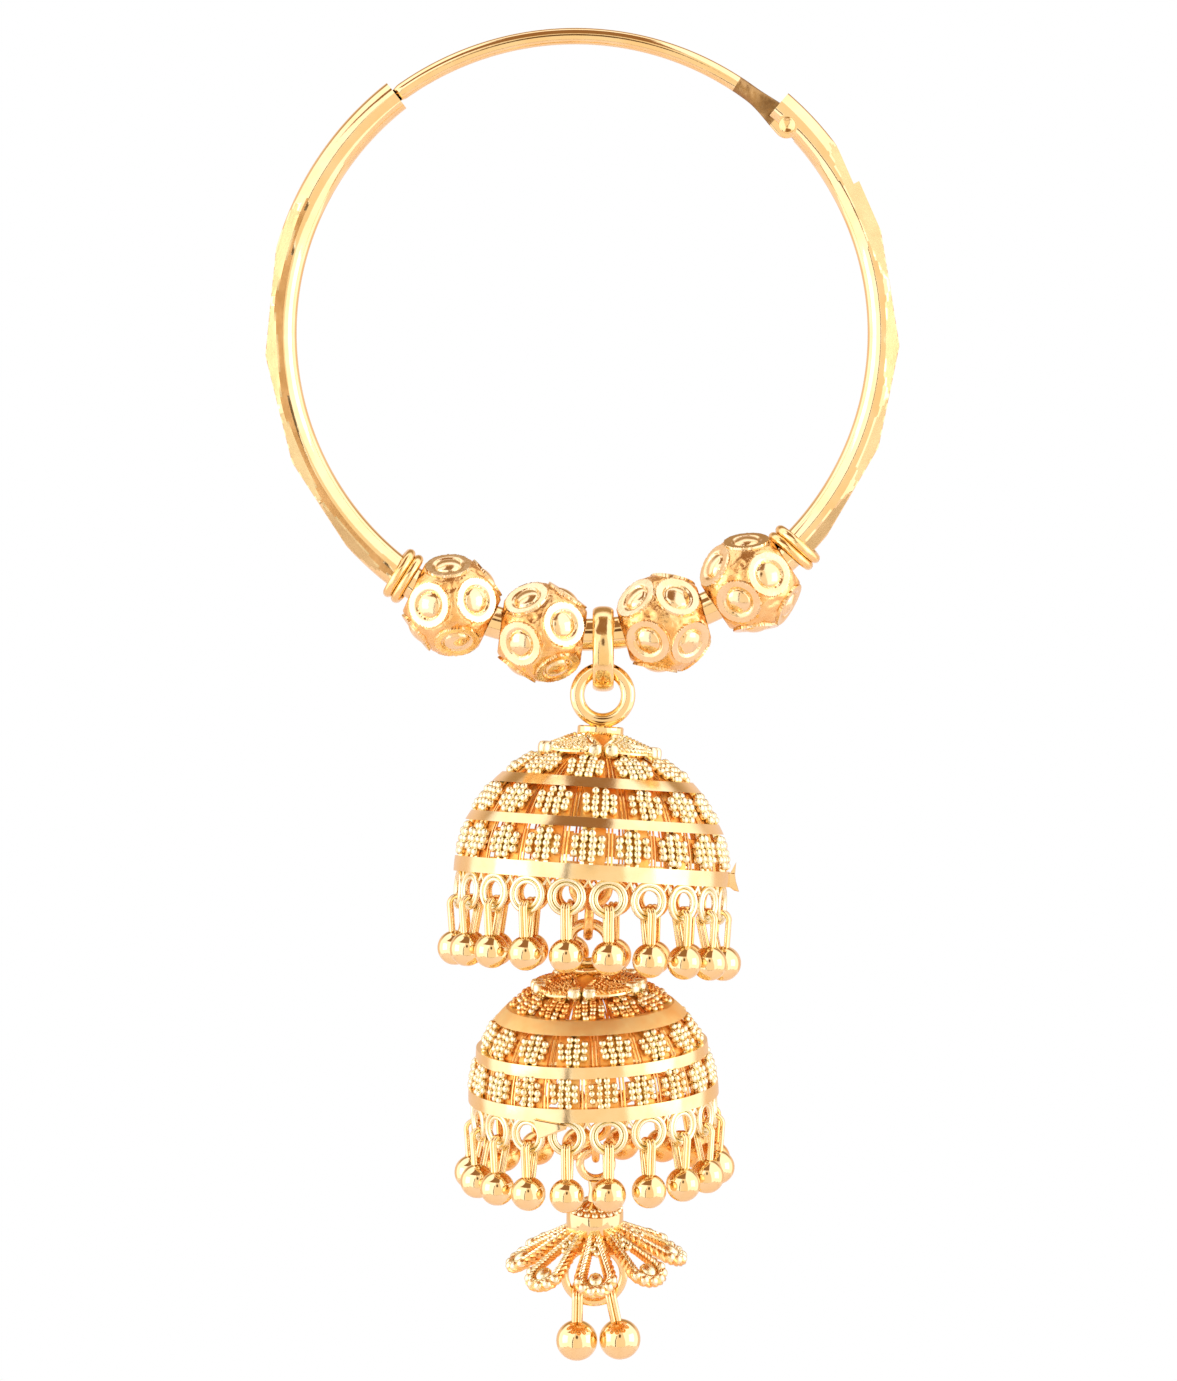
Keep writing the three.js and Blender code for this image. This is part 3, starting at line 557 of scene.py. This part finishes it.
def ear_wire():
    per_mm = math.degrees(1 / HOOP_RADIUS)
    tab_end = PIN_ANGLE + 2.4 * per_mm
    tip = MOUTH_ANGLE + 0.3 * per_mm
    angles = np.concatenate([
        PIN_ANGLE + per_mm * np.linspace(-0.62, 0, 9),
        np.linspace(PIN_ANGLE, tab_end, 16)[1:],
        np.linspace(tab_end, tip, 120)[1:],
    ])
    rings = []
    for angle in angles:
        s = (angle - PIN_ANGLE) / per_mm
        left = (tip - angle) / per_mm
        wide, thick, power = 0.39, 0.39, 2.0
        if s < 0:
            wide, thick, power = math.sqrt(max(0.625 ** 2 - s ** 2, 0.0004)), 0.2, 5.0
        elif s < 2.4:
            t = s / 2.4
            t = t * t * (3 - 2 * t)
            wide = 0.625 + (0.39 - 0.625) * t
            thick = 0.2 + 0.19 * max(0, (s - 1.6) / 0.8) ** 1.5
            power = 5 - 3 * max(0, (s - 1.6) / 0.8)
        if left < 0.6:
            wide = thick = 0.2 + 0.19 * (left / 0.6) ** 0.8
        section = oval(wide, thick, 24, power)
        out = polar(angle, 1)
        rings.append(out * (wire_middle(angle) + section[:, :1]) + np.array([0, 1, 0]) * section[:, 1:])
    shape = Shape()
    loft(shape, rings)
    # The part of the tab inside the hinge slot is painted dark, as painted shade
    in_slot_shade = (angles[:-1] > PIN_ANGLE + 0.5 * per_mm) & (angles[:-1] < PIN_ANGLE + 3.1 * per_mm)
    shape.looks[:24 * len(in_slot_shade)] = np.repeat(in_slot_shade.astype(int), 24).tolist()
    return shape


put(ear_wire().mesh("ear_wire", [POLISHED, SLOT_SHADE]), "ear_wire_round", hoop_place, "ear_wire", ["ear_wire"])


# Beads and stop coils

def bead(left, right):
    """A ball with ten flat discs, each with a ring groove and a boss, on hammered ground."""
    centres = []
    latitude = math.radians(26.57)
    for side, first in ((-1, left), (1, right)):
        for i in range(5):
            turn = math.radians(first + 72 * i)
            centres.append((
                side * math.sin(latitude),
                -math.cos(latitude) * math.cos(turn),
                math.cos(latitude) * math.sin(turn),
            ))
    centres = np.array(centres)
    bore = 0.96
    edge = math.atan2(bore, 1.98)
    rows, columns = 140, 216
    tilt = np.linspace(edge, math.pi - edge, rows)[:, None]
    turn = (np.arange(columns) * 2 * math.pi / columns)[None, :]
    way = np.stack([
        -np.cos(tilt) * np.ones_like(turn),
        np.sin(tilt) * np.cos(turn),
        np.sin(tilt) * np.sin(turn),
    ], -1)
    facing = way @ centres.T
    nearest = facing.max(-1)
    off = 2.17 * np.tan(np.arccos(np.clip(nearest, -1, 1)))
    flat = 2.17 / nearest
    pole = 1.98 / np.maximum(abs(way[..., 0]), 1e-3)
    ground = np.full_like(flat, 2.34)
    rng = np.random.default_rng(3)
    for _ in range(150):
        spot = rng.normal(size=3)
        spot /= np.linalg.norm(spot)
        near = np.arccos(np.clip(way @ spot, -1, 1))
        ground -= 0.06 * np.exp(-((near / 0.085) ** 2))
    on_disc = off < 1.1
    radius = np.where(on_disc, flat, ground)
    groove = np.exp(-(((off - 0.65) / 0.05) ** 2))
    boss = np.clip(1 - (off / 0.58) ** 2, 0, 1)
    lip = np.exp(-(((off - 1.16) / 0.05) ** 2))
    radius = radius + np.where(on_disc, -0.10 * groove + 0.16 * boss, 0) - 0.03 * lip
    radius = np.minimum(radius, pole)
    rings = way * radius[..., None]
    shape = Shape()
    loft(shape, rings, capped=False)
    looks = []
    for i in range(rows - 1):
        for j in range(columns):
            looks.append(0 if off[i, j] < 1.12 else 1)
    shape.looks = looks
    inner = rings[0] * np.array([1, 0, 0]) + rings[0] * np.array([0, 0.97, 0.97])
    inner_far = rings[-1] * np.array([1, 0, 0]) + rings[-1] * np.array([0, 0.97, 0.97])
    loft(shape, [rings[0], inner, inner_far, rings[-1]], capped=False, look=1)
    return shape


def on_tube(angle):
    return hoop_place @ at(*polar(angle - 90, HOOP_RADIUS)) @ turned("Y", -angle)


for i, row in enumerate(BEADS):
    name = f"bead_{i + 1}"
    made = welded(bead(row["left"], row["right"]).mesh(name, [BURNISHED, HAMMERED], 60))
    put(made, name + "_engraved", on_tube(row["at"]), "hoop", [name])

coil = Shape()
turns = np.linspace(-0.875, 0.875, 52)
wire(coil, np.stack([
    turns * 0.46,
    1.05 * np.cos(turns * 2 * math.pi),
    1.05 * np.sin(turns * 2 * math.pi),
], 1), 0.235, 12)
coil_mesh = coil.mesh("stop_coil", [WIRE])
put(coil_mesh, "stop_coil_left_wound", on_tube(BEADS[0]["at"] - STOP_SPACING), "hoop", ["stop_coil_left"])
put(coil_mesh, "stop_coil_right_wound", on_tube(BEADS[3]["at"] + STOP_SPACING), "hoop", ["stop_coil_right"])

bail = Shape()
ring(bail, 3.04, 0.5, about="X", width=1.0, sides=24, steps=64, power=2.3)
bail_place = at(pivots["bail"] + Vector((0, 0, -0.70)))
put(bail.mesh("bail", [WIRE]), "bail_strap", bail_place, "bail", ["bail"])


# Domes

def on_shell(dome, azimuth, height, radius):
    """A place on the ball shell, with outward, sideways and upward directions."""
    turn = math.radians(azimuth)
    level = math.sqrt(max(radius ** 2 - height ** 2, 0.01))
    out_flat = np.array([math.cos(turn), math.sin(turn), 0])
    point = out_flat * level + np.array([0, 0, height - dome["centre"]])
    out = (out_flat * level + np.array([0, 0, height])) / radius
    side = np.array([-math.sin(turn), math.cos(turn), 0])
    return point, out, side, np.cross(out, side)


def band(shape, dome, height, width, lean, look):
    """A polished strip round the shell, leaning so that its lower edge stands out."""
    top, bottom = height + width / 2, height - width / 2
    outer, centre = dome["radius"], dome["centre"]

    def reach(h, extra):
        return math.sqrt(outer ** 2 - h ** 2) + extra

    profile = [
        (reach(top, -0.42), top - centre),
        (reach(top, -lean), top - centre),
        (reach(height, 0), height - centre),
        (reach(bottom, lean), bottom - centre),
        (reach(bottom, -0.42), bottom - centre),
    ]
    lathe(shape, profile[::-1], 144, look)


def flower(shape, place, across, upwards, look):
    """Sixteen granules: two tall columns in the middle and a short one at each side."""
    point, out, side, up = place
    for column, count in ((-1.5, 3), (-0.5, 5), (0.5, 5), (1.5, 3)):
        for row in range(count):
            a = column * across
            b = (row - (count - 1) / 2) * upwards * (1 if count == 5 else 1.12)
            wobble = [random.uniform(-0.04, 0.04) for _ in range(3)]
            centre = point + side * (a + wobble[0]) + up * (b + wobble[1])
            centre = centre - out * (0.5 * (a * a + b * b) / 6.3 + wobble[2])
            size = random.uniform(0.38, 0.45) * across / 0.43
            # Seven granules in ten take the given gold, which on the lower dome's top row is the shaded gold of
            # painted shade
            grain(shape, centre, size, look if random.random() < 0.7 else 1)


def panel(shape, dome, sides, heights, outer, inner):
    """A curved plate of the shell between two azimuths and two heights."""
    rings = []
    for h in np.linspace(*heights, 5):
        points = []
        for radius, azimuths in ((outer, np.linspace(*sides, 7)), (inner, np.linspace(*reversed(sides), 7))):
            level = math.sqrt(radius ** 2 - min(h, radius * 0.98) ** 2)
            for azimuth in np.radians(azimuths):
                points.append((level * math.cos(azimuth), level * math.sin(azimuth), h - dome["centre"]))
        rings.append(points)
    # The backing plates are in recess gold, painted shade behind the flowers
    loft(shape, rings, look=2)


def rim_places(dome):
    last_height, last_width = dome["bands"][-1]
    bottom = dome["centre"] - last_height + last_width / 2
    radius = dome["radius"] - RIM_WIRE / 2 - RIM_INSET
    places = []
    for i in range(dome["rim"]):
        azimuth = 360 * (i + 0.5) / dome["rim"] + dome["rim_turn"] - 90
        places.append((azimuth, radius, bottom + dome["rim_below"], bottom))
    return places


def rim_loops(shape, dome):
    """Rings of doubled wire below the lowest band, with small wires between them."""
    places = rim_places(dome)
    for azimuth, radius, drop, bottom in places:
        # Loops and wires at the back of the rim are in shaded gold as painted shade, the front ones in the pale
        # granule gold as painted light
        look = 3 if math.sin(math.radians(azimuth)) > 0.25 else 1
        for outer, thick in ((RIM_LOOP + 0.12, 0.25), (RIM_LOOP - 0.38, 0.2)):
            part = Shape()
            ring(part, outer - 2 * thick, thick, about="X", sides=10, steps=32, look=look)
            shape.merge(part, turned("Z", azimuth) @ at(radius, 0, -drop))
        for side in (-1, 1):
            path = []
            for turn, fall in ((0.50, 0.0), (0.47, 0.2), (0.40, 0.42)):
                a = math.radians(azimuth + side * turn * 360 / len(places))
                path.append((radius * math.cos(a), radius * math.sin(a), -bottom + 0.06 - fall))
            wire(shape, path, 0.07, 6, look=look)


def cap(shape, dome):
    """Five petals of twisted wire on a shallow cone, with a pair of beads between them."""
    top, bottom, collar = dome["collar"]
    edge, edge_top, edge_bottom = dome["cap"]
    slope = (edge_top - bottom) / (edge - collar)
    # The cone under the petals is in recess gold, painted shade
    lathe(shape, [
        (collar * 0.6, -bottom - 0.2), (collar * 0.9, -bottom + 0.02), (collar + 0.25, -bottom - 0.1),
        (edge - 0.45, -edge_top - 0.12), (edge - 0.5, -edge_bottom - 0.1), (collar, -edge_bottom),
    ][::-1], 96, 2)
    for i in range(5):
        turn = turned("Z", 72 * i + dome["cap_turn"] + 36 - 90)

        def on_cone(r, degrees, lift=0.06):
            a = math.radians(degrees)
            place = [[r * math.cos(a), r * math.sin(a), -bottom - slope * (r - collar) + lift]]
            return moved(place, turn)[0]

        rim = []
        for degrees in np.linspace(-33, 33, 15):
            bulge = math.cos(math.radians(degrees * 2.4))
            rim.append(on_cone(edge - 0.42 + 0.3 * bulge, degrees, 0.02))
        outline = [on_cone(collar + 0.1, -4)] + rim + [on_cone(collar + 0.1, 4)]
        rope(shape, outline, 0.13, 0.42, dome["looks"]["cap"])
        wire(shape, [p + np.array([0, 0, -0.16]) for p in rim], 0.13, 8)
        for k in range(9):
            r = collar + 0.22 + 0.17 * k
            spread = min(28, 5 + 4.6 * k) * (1 if k < 7 else 0.8)
            ends = [on_cone(r - 0.12, -spread, 0.02), on_cone(r + 0.06, 0, 0.04), on_cone(r + 0.2, spread * 0.9, 0.02)]
            rope(shape, ends, 0.07, 0.26, dome["looks"]["cap"], 5)
        gap = turn @ turned("Z", 36)
        for side in (-1, 1):
            block = Shape()
            rings = []
            for z, size in ((-0.34, 0.1), (-0.3, 0.26), (-0.19, 0.33), (0, 0.35), (0.19, 0.33), (0.3, 0.26), (0.34, 0.1)):
                rings.append(np.column_stack([oval(size, size, 20, 2.6), np.full(20, z)]))
            loft(block, rings, look=1)
            shape.merge(block, gap @ turned("Z", side * 8.2) @ at(edge - 0.28, 0, -edge_top - 0.02))
            grain(shape, moved([[edge - 0.8, side * 0.24, -edge_top + 0.1]], gap)[0], 0.4, 1)


def dome_shape(dome):
    shape = Shape()
    face = dome["radius"] - 0.12
    inner_eye, eye_wire, eye_drop = dome["eye"]
    ring(shape, inner_eye, eye_wire, (0, 0, -eye_drop), sides=20, steps=64, power=2.3)
    top, bottom, collar = dome["collar"]
    eye_bottom = eye_drop + inner_eye / 2 + eye_wire
    lathe(shape, [(0.0, -eye_bottom + 0.1), (0.5, -eye_bottom + 0.1), (0.62, -top), (collar - 0.06, -top),
                  (collar, -top - 0.06), (collar, -bottom + 0.05), (collar - 0.1, -bottom - 0.08), (0.0, -bottom - 0.08)], 48, 0, closed=False)
    cap(shape, dome)
    upper_edge = math.sqrt(face ** 2 - dome["cap"][0] ** 2)
    for row, (height, width) in enumerate(dome["bands"]):
        band(shape, dome, height, width, dome["leans"][row], dome["looks"]["band"] if row == 0 else 4)
        low = height + width / 2
        count, first, across, upwards = dome["rows"][row]
        middle = (low + upper_edge) / 2
        level = math.sqrt(face ** 2 - middle ** 2)
        heights = (low - 0.05, upper_edge + 0.05)
        pitch = 360 / count
        slot = math.degrees(0.24 / level)
        stem = math.degrees(0.3 / level)
        clear = 0.36 if row == 2 else 0.0
        for i in range(count):
            azimuth = pitch * i + first - 90
            left = (azimuth - pitch / 2 + slot, azimuth - stem)
            panel(shape, dome, left, (heights[0] + clear, heights[1] - clear), face - 0.2, face - 0.42)
            panel(shape, dome, (azimuth - stem, azimuth + pitch / 2 - slot), heights, face - 0.2, face - 0.42)
            # The lower dome's top row takes the shaded gold, painted shade under the upper dome
            look = dome["looks"]["flower"] if row == 0 else 1
            flower(shape, on_shell(dome, azimuth, middle, face - 0.02), across, upwards, look)
            for side in (-0.5, 0.5):
                turn = azimuth + math.degrees(side * across / level)
                path = [on_shell(dome, turn, h, face - 0.1)[0] for h in np.linspace(*heights, 5)]
                wire(shape, path, 0.11, 6, look=1)
            # The thin wires in the gaps between flowers are in shaded gold, painted shade
            for side in (-0.09, 0.09):
                turn = azimuth + pitch / 2 + math.degrees(side / level)
                path = [on_shell(dome, turn, h, face - 0.16)[0] for h in np.linspace(*heights, 5)]
                wire(shape, path, 0.05, 6, look=3)
        upper_edge = height - width / 2
    rim_loops(shape, dome)
    loop_inner, loop_wire, loop_drop = dome["loop"]
    loop_middle = loop_drop - (loop_inner + loop_wire) / 2
    # The hanging loop and the post are in shaded gold, painted shade inside the dome
    ring(shape, loop_inner, loop_wire, (0, 0, -loop_middle), sides=14, steps=40, look=3)
    post_end = loop_drop - loop_inner - loop_wire
    wire(shape, [(0, 0, -bottom), (0, 0, -(bottom + post_end) / 2), (0, 0, -post_end - 0.1)], 0.35, 16, look=3)
    return shape


def plate(shape, corners, depth, thick, azimuth=0):
    """A flat plate with corners (across, up) at a depth, its edges drawn in, then turned about Z."""
    rings = []
    middle = np.mean(corners, 0)
    for y, size in ((-thick / 2, 0.86), (-thick / 4, 1), (thick / 4, 1), (thick / 2, 0.86)):
        rings.append([(*(middle + (np.array(c) - middle) * size), depth + y) for c in corners])
    loft(shape, moved(np.array(rings)[..., [0, 2, 1]], turned("Z", azimuth)), look=4)


# Looks 1, 2 and 3 are the pale granule gold of painted light and the recess and shaded golds of painted shade
domes = [POLISHED, GRANULES_PAINTED_PALE, RECESS_SHADE, SHADED, STRIP, SATIN]
upper, lower = dome_shape(UPPER), dome_shape(LOWER)
plate(upper, [(6.3, -8.45), (6.74, -8.4), (6.82, -8.8), (7.0, -9.3), (6.75, -9.25), (6.3, -8.95)], 0.2, 0.3)
plate(upper, [(6.5, -8.5), (6.76, -8.5), (6.78, -7.9)], 0.2, 0.2)
plate(lower, [(-0.85, -7.62), (0.8, -7.85), (0.75, -8.05), (-0.6, -8.55)], -5.99, 0.16, -19)
put(upper.mesh("upper_dome", domes), "upper_dome_filigree", upper_place, "upper_jhumka", ["upper_dome"])
put(lower.mesh("lower_dome", domes), "lower_dome_filigree", lower_place, "lower_jhumka", ["lower_dome"])

# Both links are in shaded gold, painted shade under the domes
for name, inner, thick, place, over in (
    ("tier_link", 1.65, 0.45, tier_place, 0.5),
    ("star_link", 1.14, 0.36, star_link_place, 0.4),
):
    link = Shape()
    ring(link, inner, thick, (0, 0, -(inner / 2 - over / 2 - 0.1)), "X", sides=16, steps=48)
    put(link.mesh(name, [SHADED]), name + "_round", place, name, [name])


# Star

def star_shape():
    shape = Shape()
    ring(shape, 1.1, 0.4, (0, 0, -0.27), sides=14, steps=44)
    lathe(shape, [
        (0, -1.1), (0.35, -1.1), (0.3, -1.6), (0.36, -2.1), (0.75, -2.3), (1.15, -2.42), (1.33, -2.56), (1.35, -2.75),
        (1.35, -3.45), (1.27, -3.62), (1.0, -3.68), (0.7, -3.8), (0.38, -3.95), (0.35, -4.5), (0, -4.5),
    ], 56, 0, closed=False)
    # The flange under the star's petals is in recess gold, painted shade
    lathe(shape, [(0.7, -3.5), (0.7, -3.62), (2.0, -4.2), (2.0, -4.07)], 64, 2)
    ring(shape, 2.4, 0.4, (0, 0, -5.88), sides=16, steps=64, width=0.44, power=2.6)
    for radius, height, count in ((1.17, -2.5, 20), (0.86, -2.4, 15)):
        for i in range(count):
            point = turned("Z", 360 * i / count) @ Vector((radius, 0, height))
            grain(shape, point, 0.32, 1)
    root, reach, droop = 0.81, 4.25, 29
    length = (reach - root) / math.cos(math.radians(droop))
    for i in range(8):
        petal = Shape()
        half = 0.8
        far = length - half - 0.22
        path = [(0.1, 0.14, 0)]
        for angle in np.linspace(-105, 105, 19):
            a = math.radians(angle)
            path.append((far + half * math.cos(a), -half * math.sin(a), 0))
        path.append((0.1, -0.14, 0))
        path = np.array(path)
        inner = path * np.array([0.82, 0.6, 1]) + np.array([0.42, 0, 0.05])
        # The petal's core wire, inner rope and root granules are in recess gold and its outer rope in shaded gold,
        # painted shade among the wires
        wire(petal, path, 0.13, 8, look=2)
        rope(petal, path, 0.24, 0.95, 3, 8, 3)
        rope(petal, path * np.array([0.93, 0.84, 1]) + np.array([0.15, 0, 0.2]), 0.13, 0.55, 1, 6, 3)
        rope(petal, inner, 0.12, 0.5, 2, 6, 3)
        for angle in np.linspace(-80, 80, 6):
            a = math.radians(angle)
            grain(petal, (far + (half - 0.02) * math.cos(a), half * math.sin(a), 0.1), 0.5, 1)
        grain(petal, (far + 0.12, 0, 0.05), 0.86, 1, [[1.12, 0, 0], [0, 0.92, 0], [0, 0, 0.8]])
        for k in range(5):
            grain(petal, (0.3 + 0.28 * k, 0.1 * (-1) ** k, 0.16), 0.36, 1 if k > 1 else 2)
        shape.merge(petal, at(0, 0, -3.5) @ turned("Y", -3.5) @ turned("Z", 45 * i) @ at(root) @ turned("Y", droop))
    return shape


put(star_shape().mesh("star_flower", domes), "star_flower_filigree", star_place, "star_drop", ["star_flower"])


# Ball drops

def drop_mesh(name, size, fall, thick, over, apart, material):
    """A ball on a doubled wire loop that hangs over a wire at the origin."""
    shape = Shape()
    half = (over / 2 + 0.1 + thick / 2) / math.cos(math.radians(30))
    half *= 0.93
    for side in (-1, 1):
        path = [(-half * 0.5, side * apart, -fall + size * 0.42)]
        for angle in np.linspace(200, -20, 16):
            path.append(polar(angle, half) + np.array([0, side * apart, 0]))
        path.append((half * 0.5, side * apart, -fall + size * 0.42))
        wire(shape, path, thick * 0.45, 10)
    ball(shape, (0, 0, -fall), size)
    return shape.mesh(name, [material])


def lowest_on(place, centre, normal, radius):
    """The lowest point of a ring of wire once its frame is placed."""
    middle = place @ Vector(centre)
    across = (place.to_3x3() @ Vector(normal)).normalized()
    down = Vector((0, 0, -1))
    down = (down - across * down.dot(across)).normalized()
    return middle + down * radius


# A lit and a shaded copy of the drop; the drops at the back take the shaded one, as painted shade
rim_drops = [drop_mesh("rim_drop", 1.64, 2.05, 0.25, RIM_WIRE, 0.115, look) for look in (POLISHED, SHADED)]
for prefix, dome, place, body in (
    ("upper_drop", UPPER, upper_place, "upper_jhumka"),
    ("lower_drop", LOWER, lower_place, "lower_jhumka"),
):
    for i, (azimuth, radius, fall, _) in enumerate(rim_places(dome)):
        turn = math.radians(azimuth)
        out = (math.cos(turn), math.sin(turn), 0)
        centre = (radius * out[0], radius * out[1], -fall)
        hang = lowest_on(place, centre, out, (RIM_LOOP - RIM_WIRE) / 2)
        where = at(hang) @ turned("Z", azimuth) @ turned("Y", -4)
        name = f"{prefix}_{i + 1:02d}"
        # Drops at the back of the rim take the shaded copy, painted shade
        rear = math.sin(turn) > 0.25
        put(rim_drops[rear], name + "_polished", where, body, [name])

star_drop = drop_mesh("star_drop", 1.96, 2.05, 0.3, 0.6, 0.13, POLISHED)
for i, (sideways, lean) in enumerate(((-0.76, -1), (0.82, 12))):
    below = math.sqrt(1.4 ** 2 - sideways ** 2)
    hang = star_place @ Vector((sideways, 0, -5.88 - below))
    where = at(hang) @ turned("Z", -90) @ turned("X", lean)
    name = f"bottom_drop_{i + 1}"
    put(star_drop, name + "_polished", where, "star_drop", [name])


# Floor, light and camera

def plain(name, color, rough):
    material = bpy.data.materials.new(name)
    material.use_nodes = True
    shader = material.node_tree.nodes["Principled BSDF"]
    shader.inputs["Base Color"].default_value = (*color, 1)
    shader.inputs["Roughness"].default_value = rough
    return material


floor_shape = Shape()
floor_shape.add([(-800, -500, 0), (800, -500, 0), (800, 1200, 0), (-800, 1200, 0)], [(0, 1, 2, 3)])
floor = bpy.data.objects.new("floor", floor_shape.mesh("floor", [plain("floor_paper", (0.90, 0.80, 0.78), 0.7)]))
bpy.context.scene.collection.objects.link(floor)
floor.location.z = cad_box[0].z - 0.5

scene = bpy.context.scene
scene.view_settings.view_transform = "Standard"
world = bpy.data.worlds.new("studio")
scene.world = world
world.use_nodes = True
nodes, links = world.node_tree.nodes, world.node_tree.links
background = nodes["Background"]
way = nodes.new("ShaderNodeTexCoord")
split = nodes.new("ShaderNodeSeparateXYZ")
links.new(way.outputs["Generated"], split.inputs[0])


def math_node(kind, a, b=0.0):
    node = nodes.new("ShaderNodeMath")
    node.operation = kind
    for socket, value in zip(node.inputs, (a, b)):
        if isinstance(value, (int, float)):
            socket.default_value = value
        else:
            links.new(value, socket)
    return node.outputs[0]


def ease(value, low, high):
    """Goes from 0 at low to 1 at high; the other way round when low is larger."""
    node = nodes.new("ShaderNodeMapRange")
    node.interpolation_type = "SMOOTHSTEP"
    links.new(value, node.inputs["Value"])
    node.inputs["From Min"].default_value = min(low, high)
    node.inputs["From Max"].default_value = max(low, high)
    result = node.outputs["Result"]
    return result if low < high else math_node("SUBTRACT", 1.0, result)


def product(*values):
    result = values[0]
    for value in values[1:]:
        result = math_node("MULTIPLY", result, value)
    return result


def layer(under, color, amount):
    mix = nodes.new("ShaderNodeMix")
    mix.data_type = "RGBA"
    colors = [socket for socket in mix.inputs if socket.type == "RGBA"]
    if isinstance(under, tuple):
        colors[0].default_value = (*under, 1)
    else:
        links.new(under, colors[0])
    colors[1].default_value = (*color, 1)
    links.new(amount, mix.inputs["Factor"])
    return [socket for socket in mix.outputs if socket.type == "RGBA"][0]


# A white tent round the front and sides and a tan back, with an opening towards the front that
# narrows upwards, a dark edge beside it, the lens, a dark gap in the roof, and a floor
x, y, z = split.outputs
forward = math_node("MAXIMUM", math_node("MULTIPLY", y, -1.0), 0.02)
narrow = math_node("MAXIMUM", math_node("SUBTRACT", 0.32, math_node("MULTIPLY", z, 0.2)), 0.1)
share = math_node("DIVIDE", math_node("DIVIDE", x, forward), narrow)
front = ease(y, 0.1, -0.05)
horizon = math_node("SUBTRACT", z, math_node("MULTIPLY", y, 0.33))
opening = product(ease(share, -1.05, -0.95), ease(share, 1.75, 1.6), front, ease(z, 0.85, 0.7))
edge = product(ease(share, -1.45, -1.38), ease(share, -1.08, -1.15), front, ease(z, 0.36, 0.28))
slant = math_node("ADD", x, math_node("MULTIPLY", math_node("SUBTRACT", 0.95, z), 1.43))
roof = product(ease(slant, -0.30, -0.26), ease(x, 0.28, 0.24), ease(z, 0.60, 0.64), ease(y, 0.2, 0.12))
lens_x = math_node("POWER", math_node("DIVIDE", x, 0.12), 2.0)
lens_z = math_node("POWER", math_node("DIVIDE", math_node("SUBTRACT", z, 0.31), 0.18), 2.0)
lens = product(ease(math_node("ADD", lens_x, lens_z), 1.1, 0.7), front)
skirting = product(ease(horizon, -0.52, -0.50), ease(horizon, -0.45, -0.47), front)
light = layer((1.42, 1.36, 1.52), (0.92, 0.68, 0.55), ease(y, 0.45, 0.62))
light = layer(light, (0.45, 0.28, 0.15), product(ease(y, 0.35, 0.6), ease(z, 0.3, 0.6)))
light = layer(light, (1.02, 0.85, 0.72), opening)
light = layer(light, (0.12, 0.07, 0.03), edge)
light = layer(light, (0.34, 0.17, 0.08), roof)
light = layer(light, (0.14, 0.07, 0.03), lens)
light = layer(light, (0.45, 0.30, 0.18), skirting)
light = layer(light, (1.02, 0.88, 0.92), ease(horizon, -0.49, -0.52))
rays = nodes.new("ShaderNodeLightPath")
light = layer(light, (1.0, 1.0, 1.0), rays.outputs["Is Camera Ray"])
links.new(light, background.inputs["Color"])


def softbox(name, place, target, size, power):
    lamp = bpy.data.lights.new(name, "AREA")
    lamp.shape = "RECTANGLE"
    lamp.size, lamp.size_y = size
    lamp.energy = power
    obj = bpy.data.objects.new(name, lamp)
    bpy.context.scene.collection.objects.link(obj)
    obj.location = place
    obj.rotation_euler = (Vector(target) - Vector(place)).to_track_quat("-Z", "Y").to_euler()


softbox("softbox_left", (-0.9, -0.3, 0.05), (0, 0, -0.03), (0.6, 0.6), 1.4)
softbox("softbox_right", (0.9, -0.3, 0.05), (0, 0, -0.03), (0.6, 0.6), 1.4)

# The photo's scale is 0.0463 mm to a pixel; the view is a little wider, for a margin
camera_data = bpy.data.cameras.new("camera")
camera = bpy.data.objects.new("camera", camera_data)
bpy.context.scene.collection.objects.link(camera)
camera_data.lens = 500
camera_data.sensor_width = 36
camera_data.sensor_fit = "AUTO"
view_height = 1381 * 0.0463 * MM * 1.02
camera.location = (0.0003, -view_height * camera_data.lens / camera_data.sensor_width, -0.0309)
camera.rotation_euler = (math.radians(90), 0, 0)
camera_data.clip_start = 0.01
camera_data.clip_end = 20
scene.camera = camera
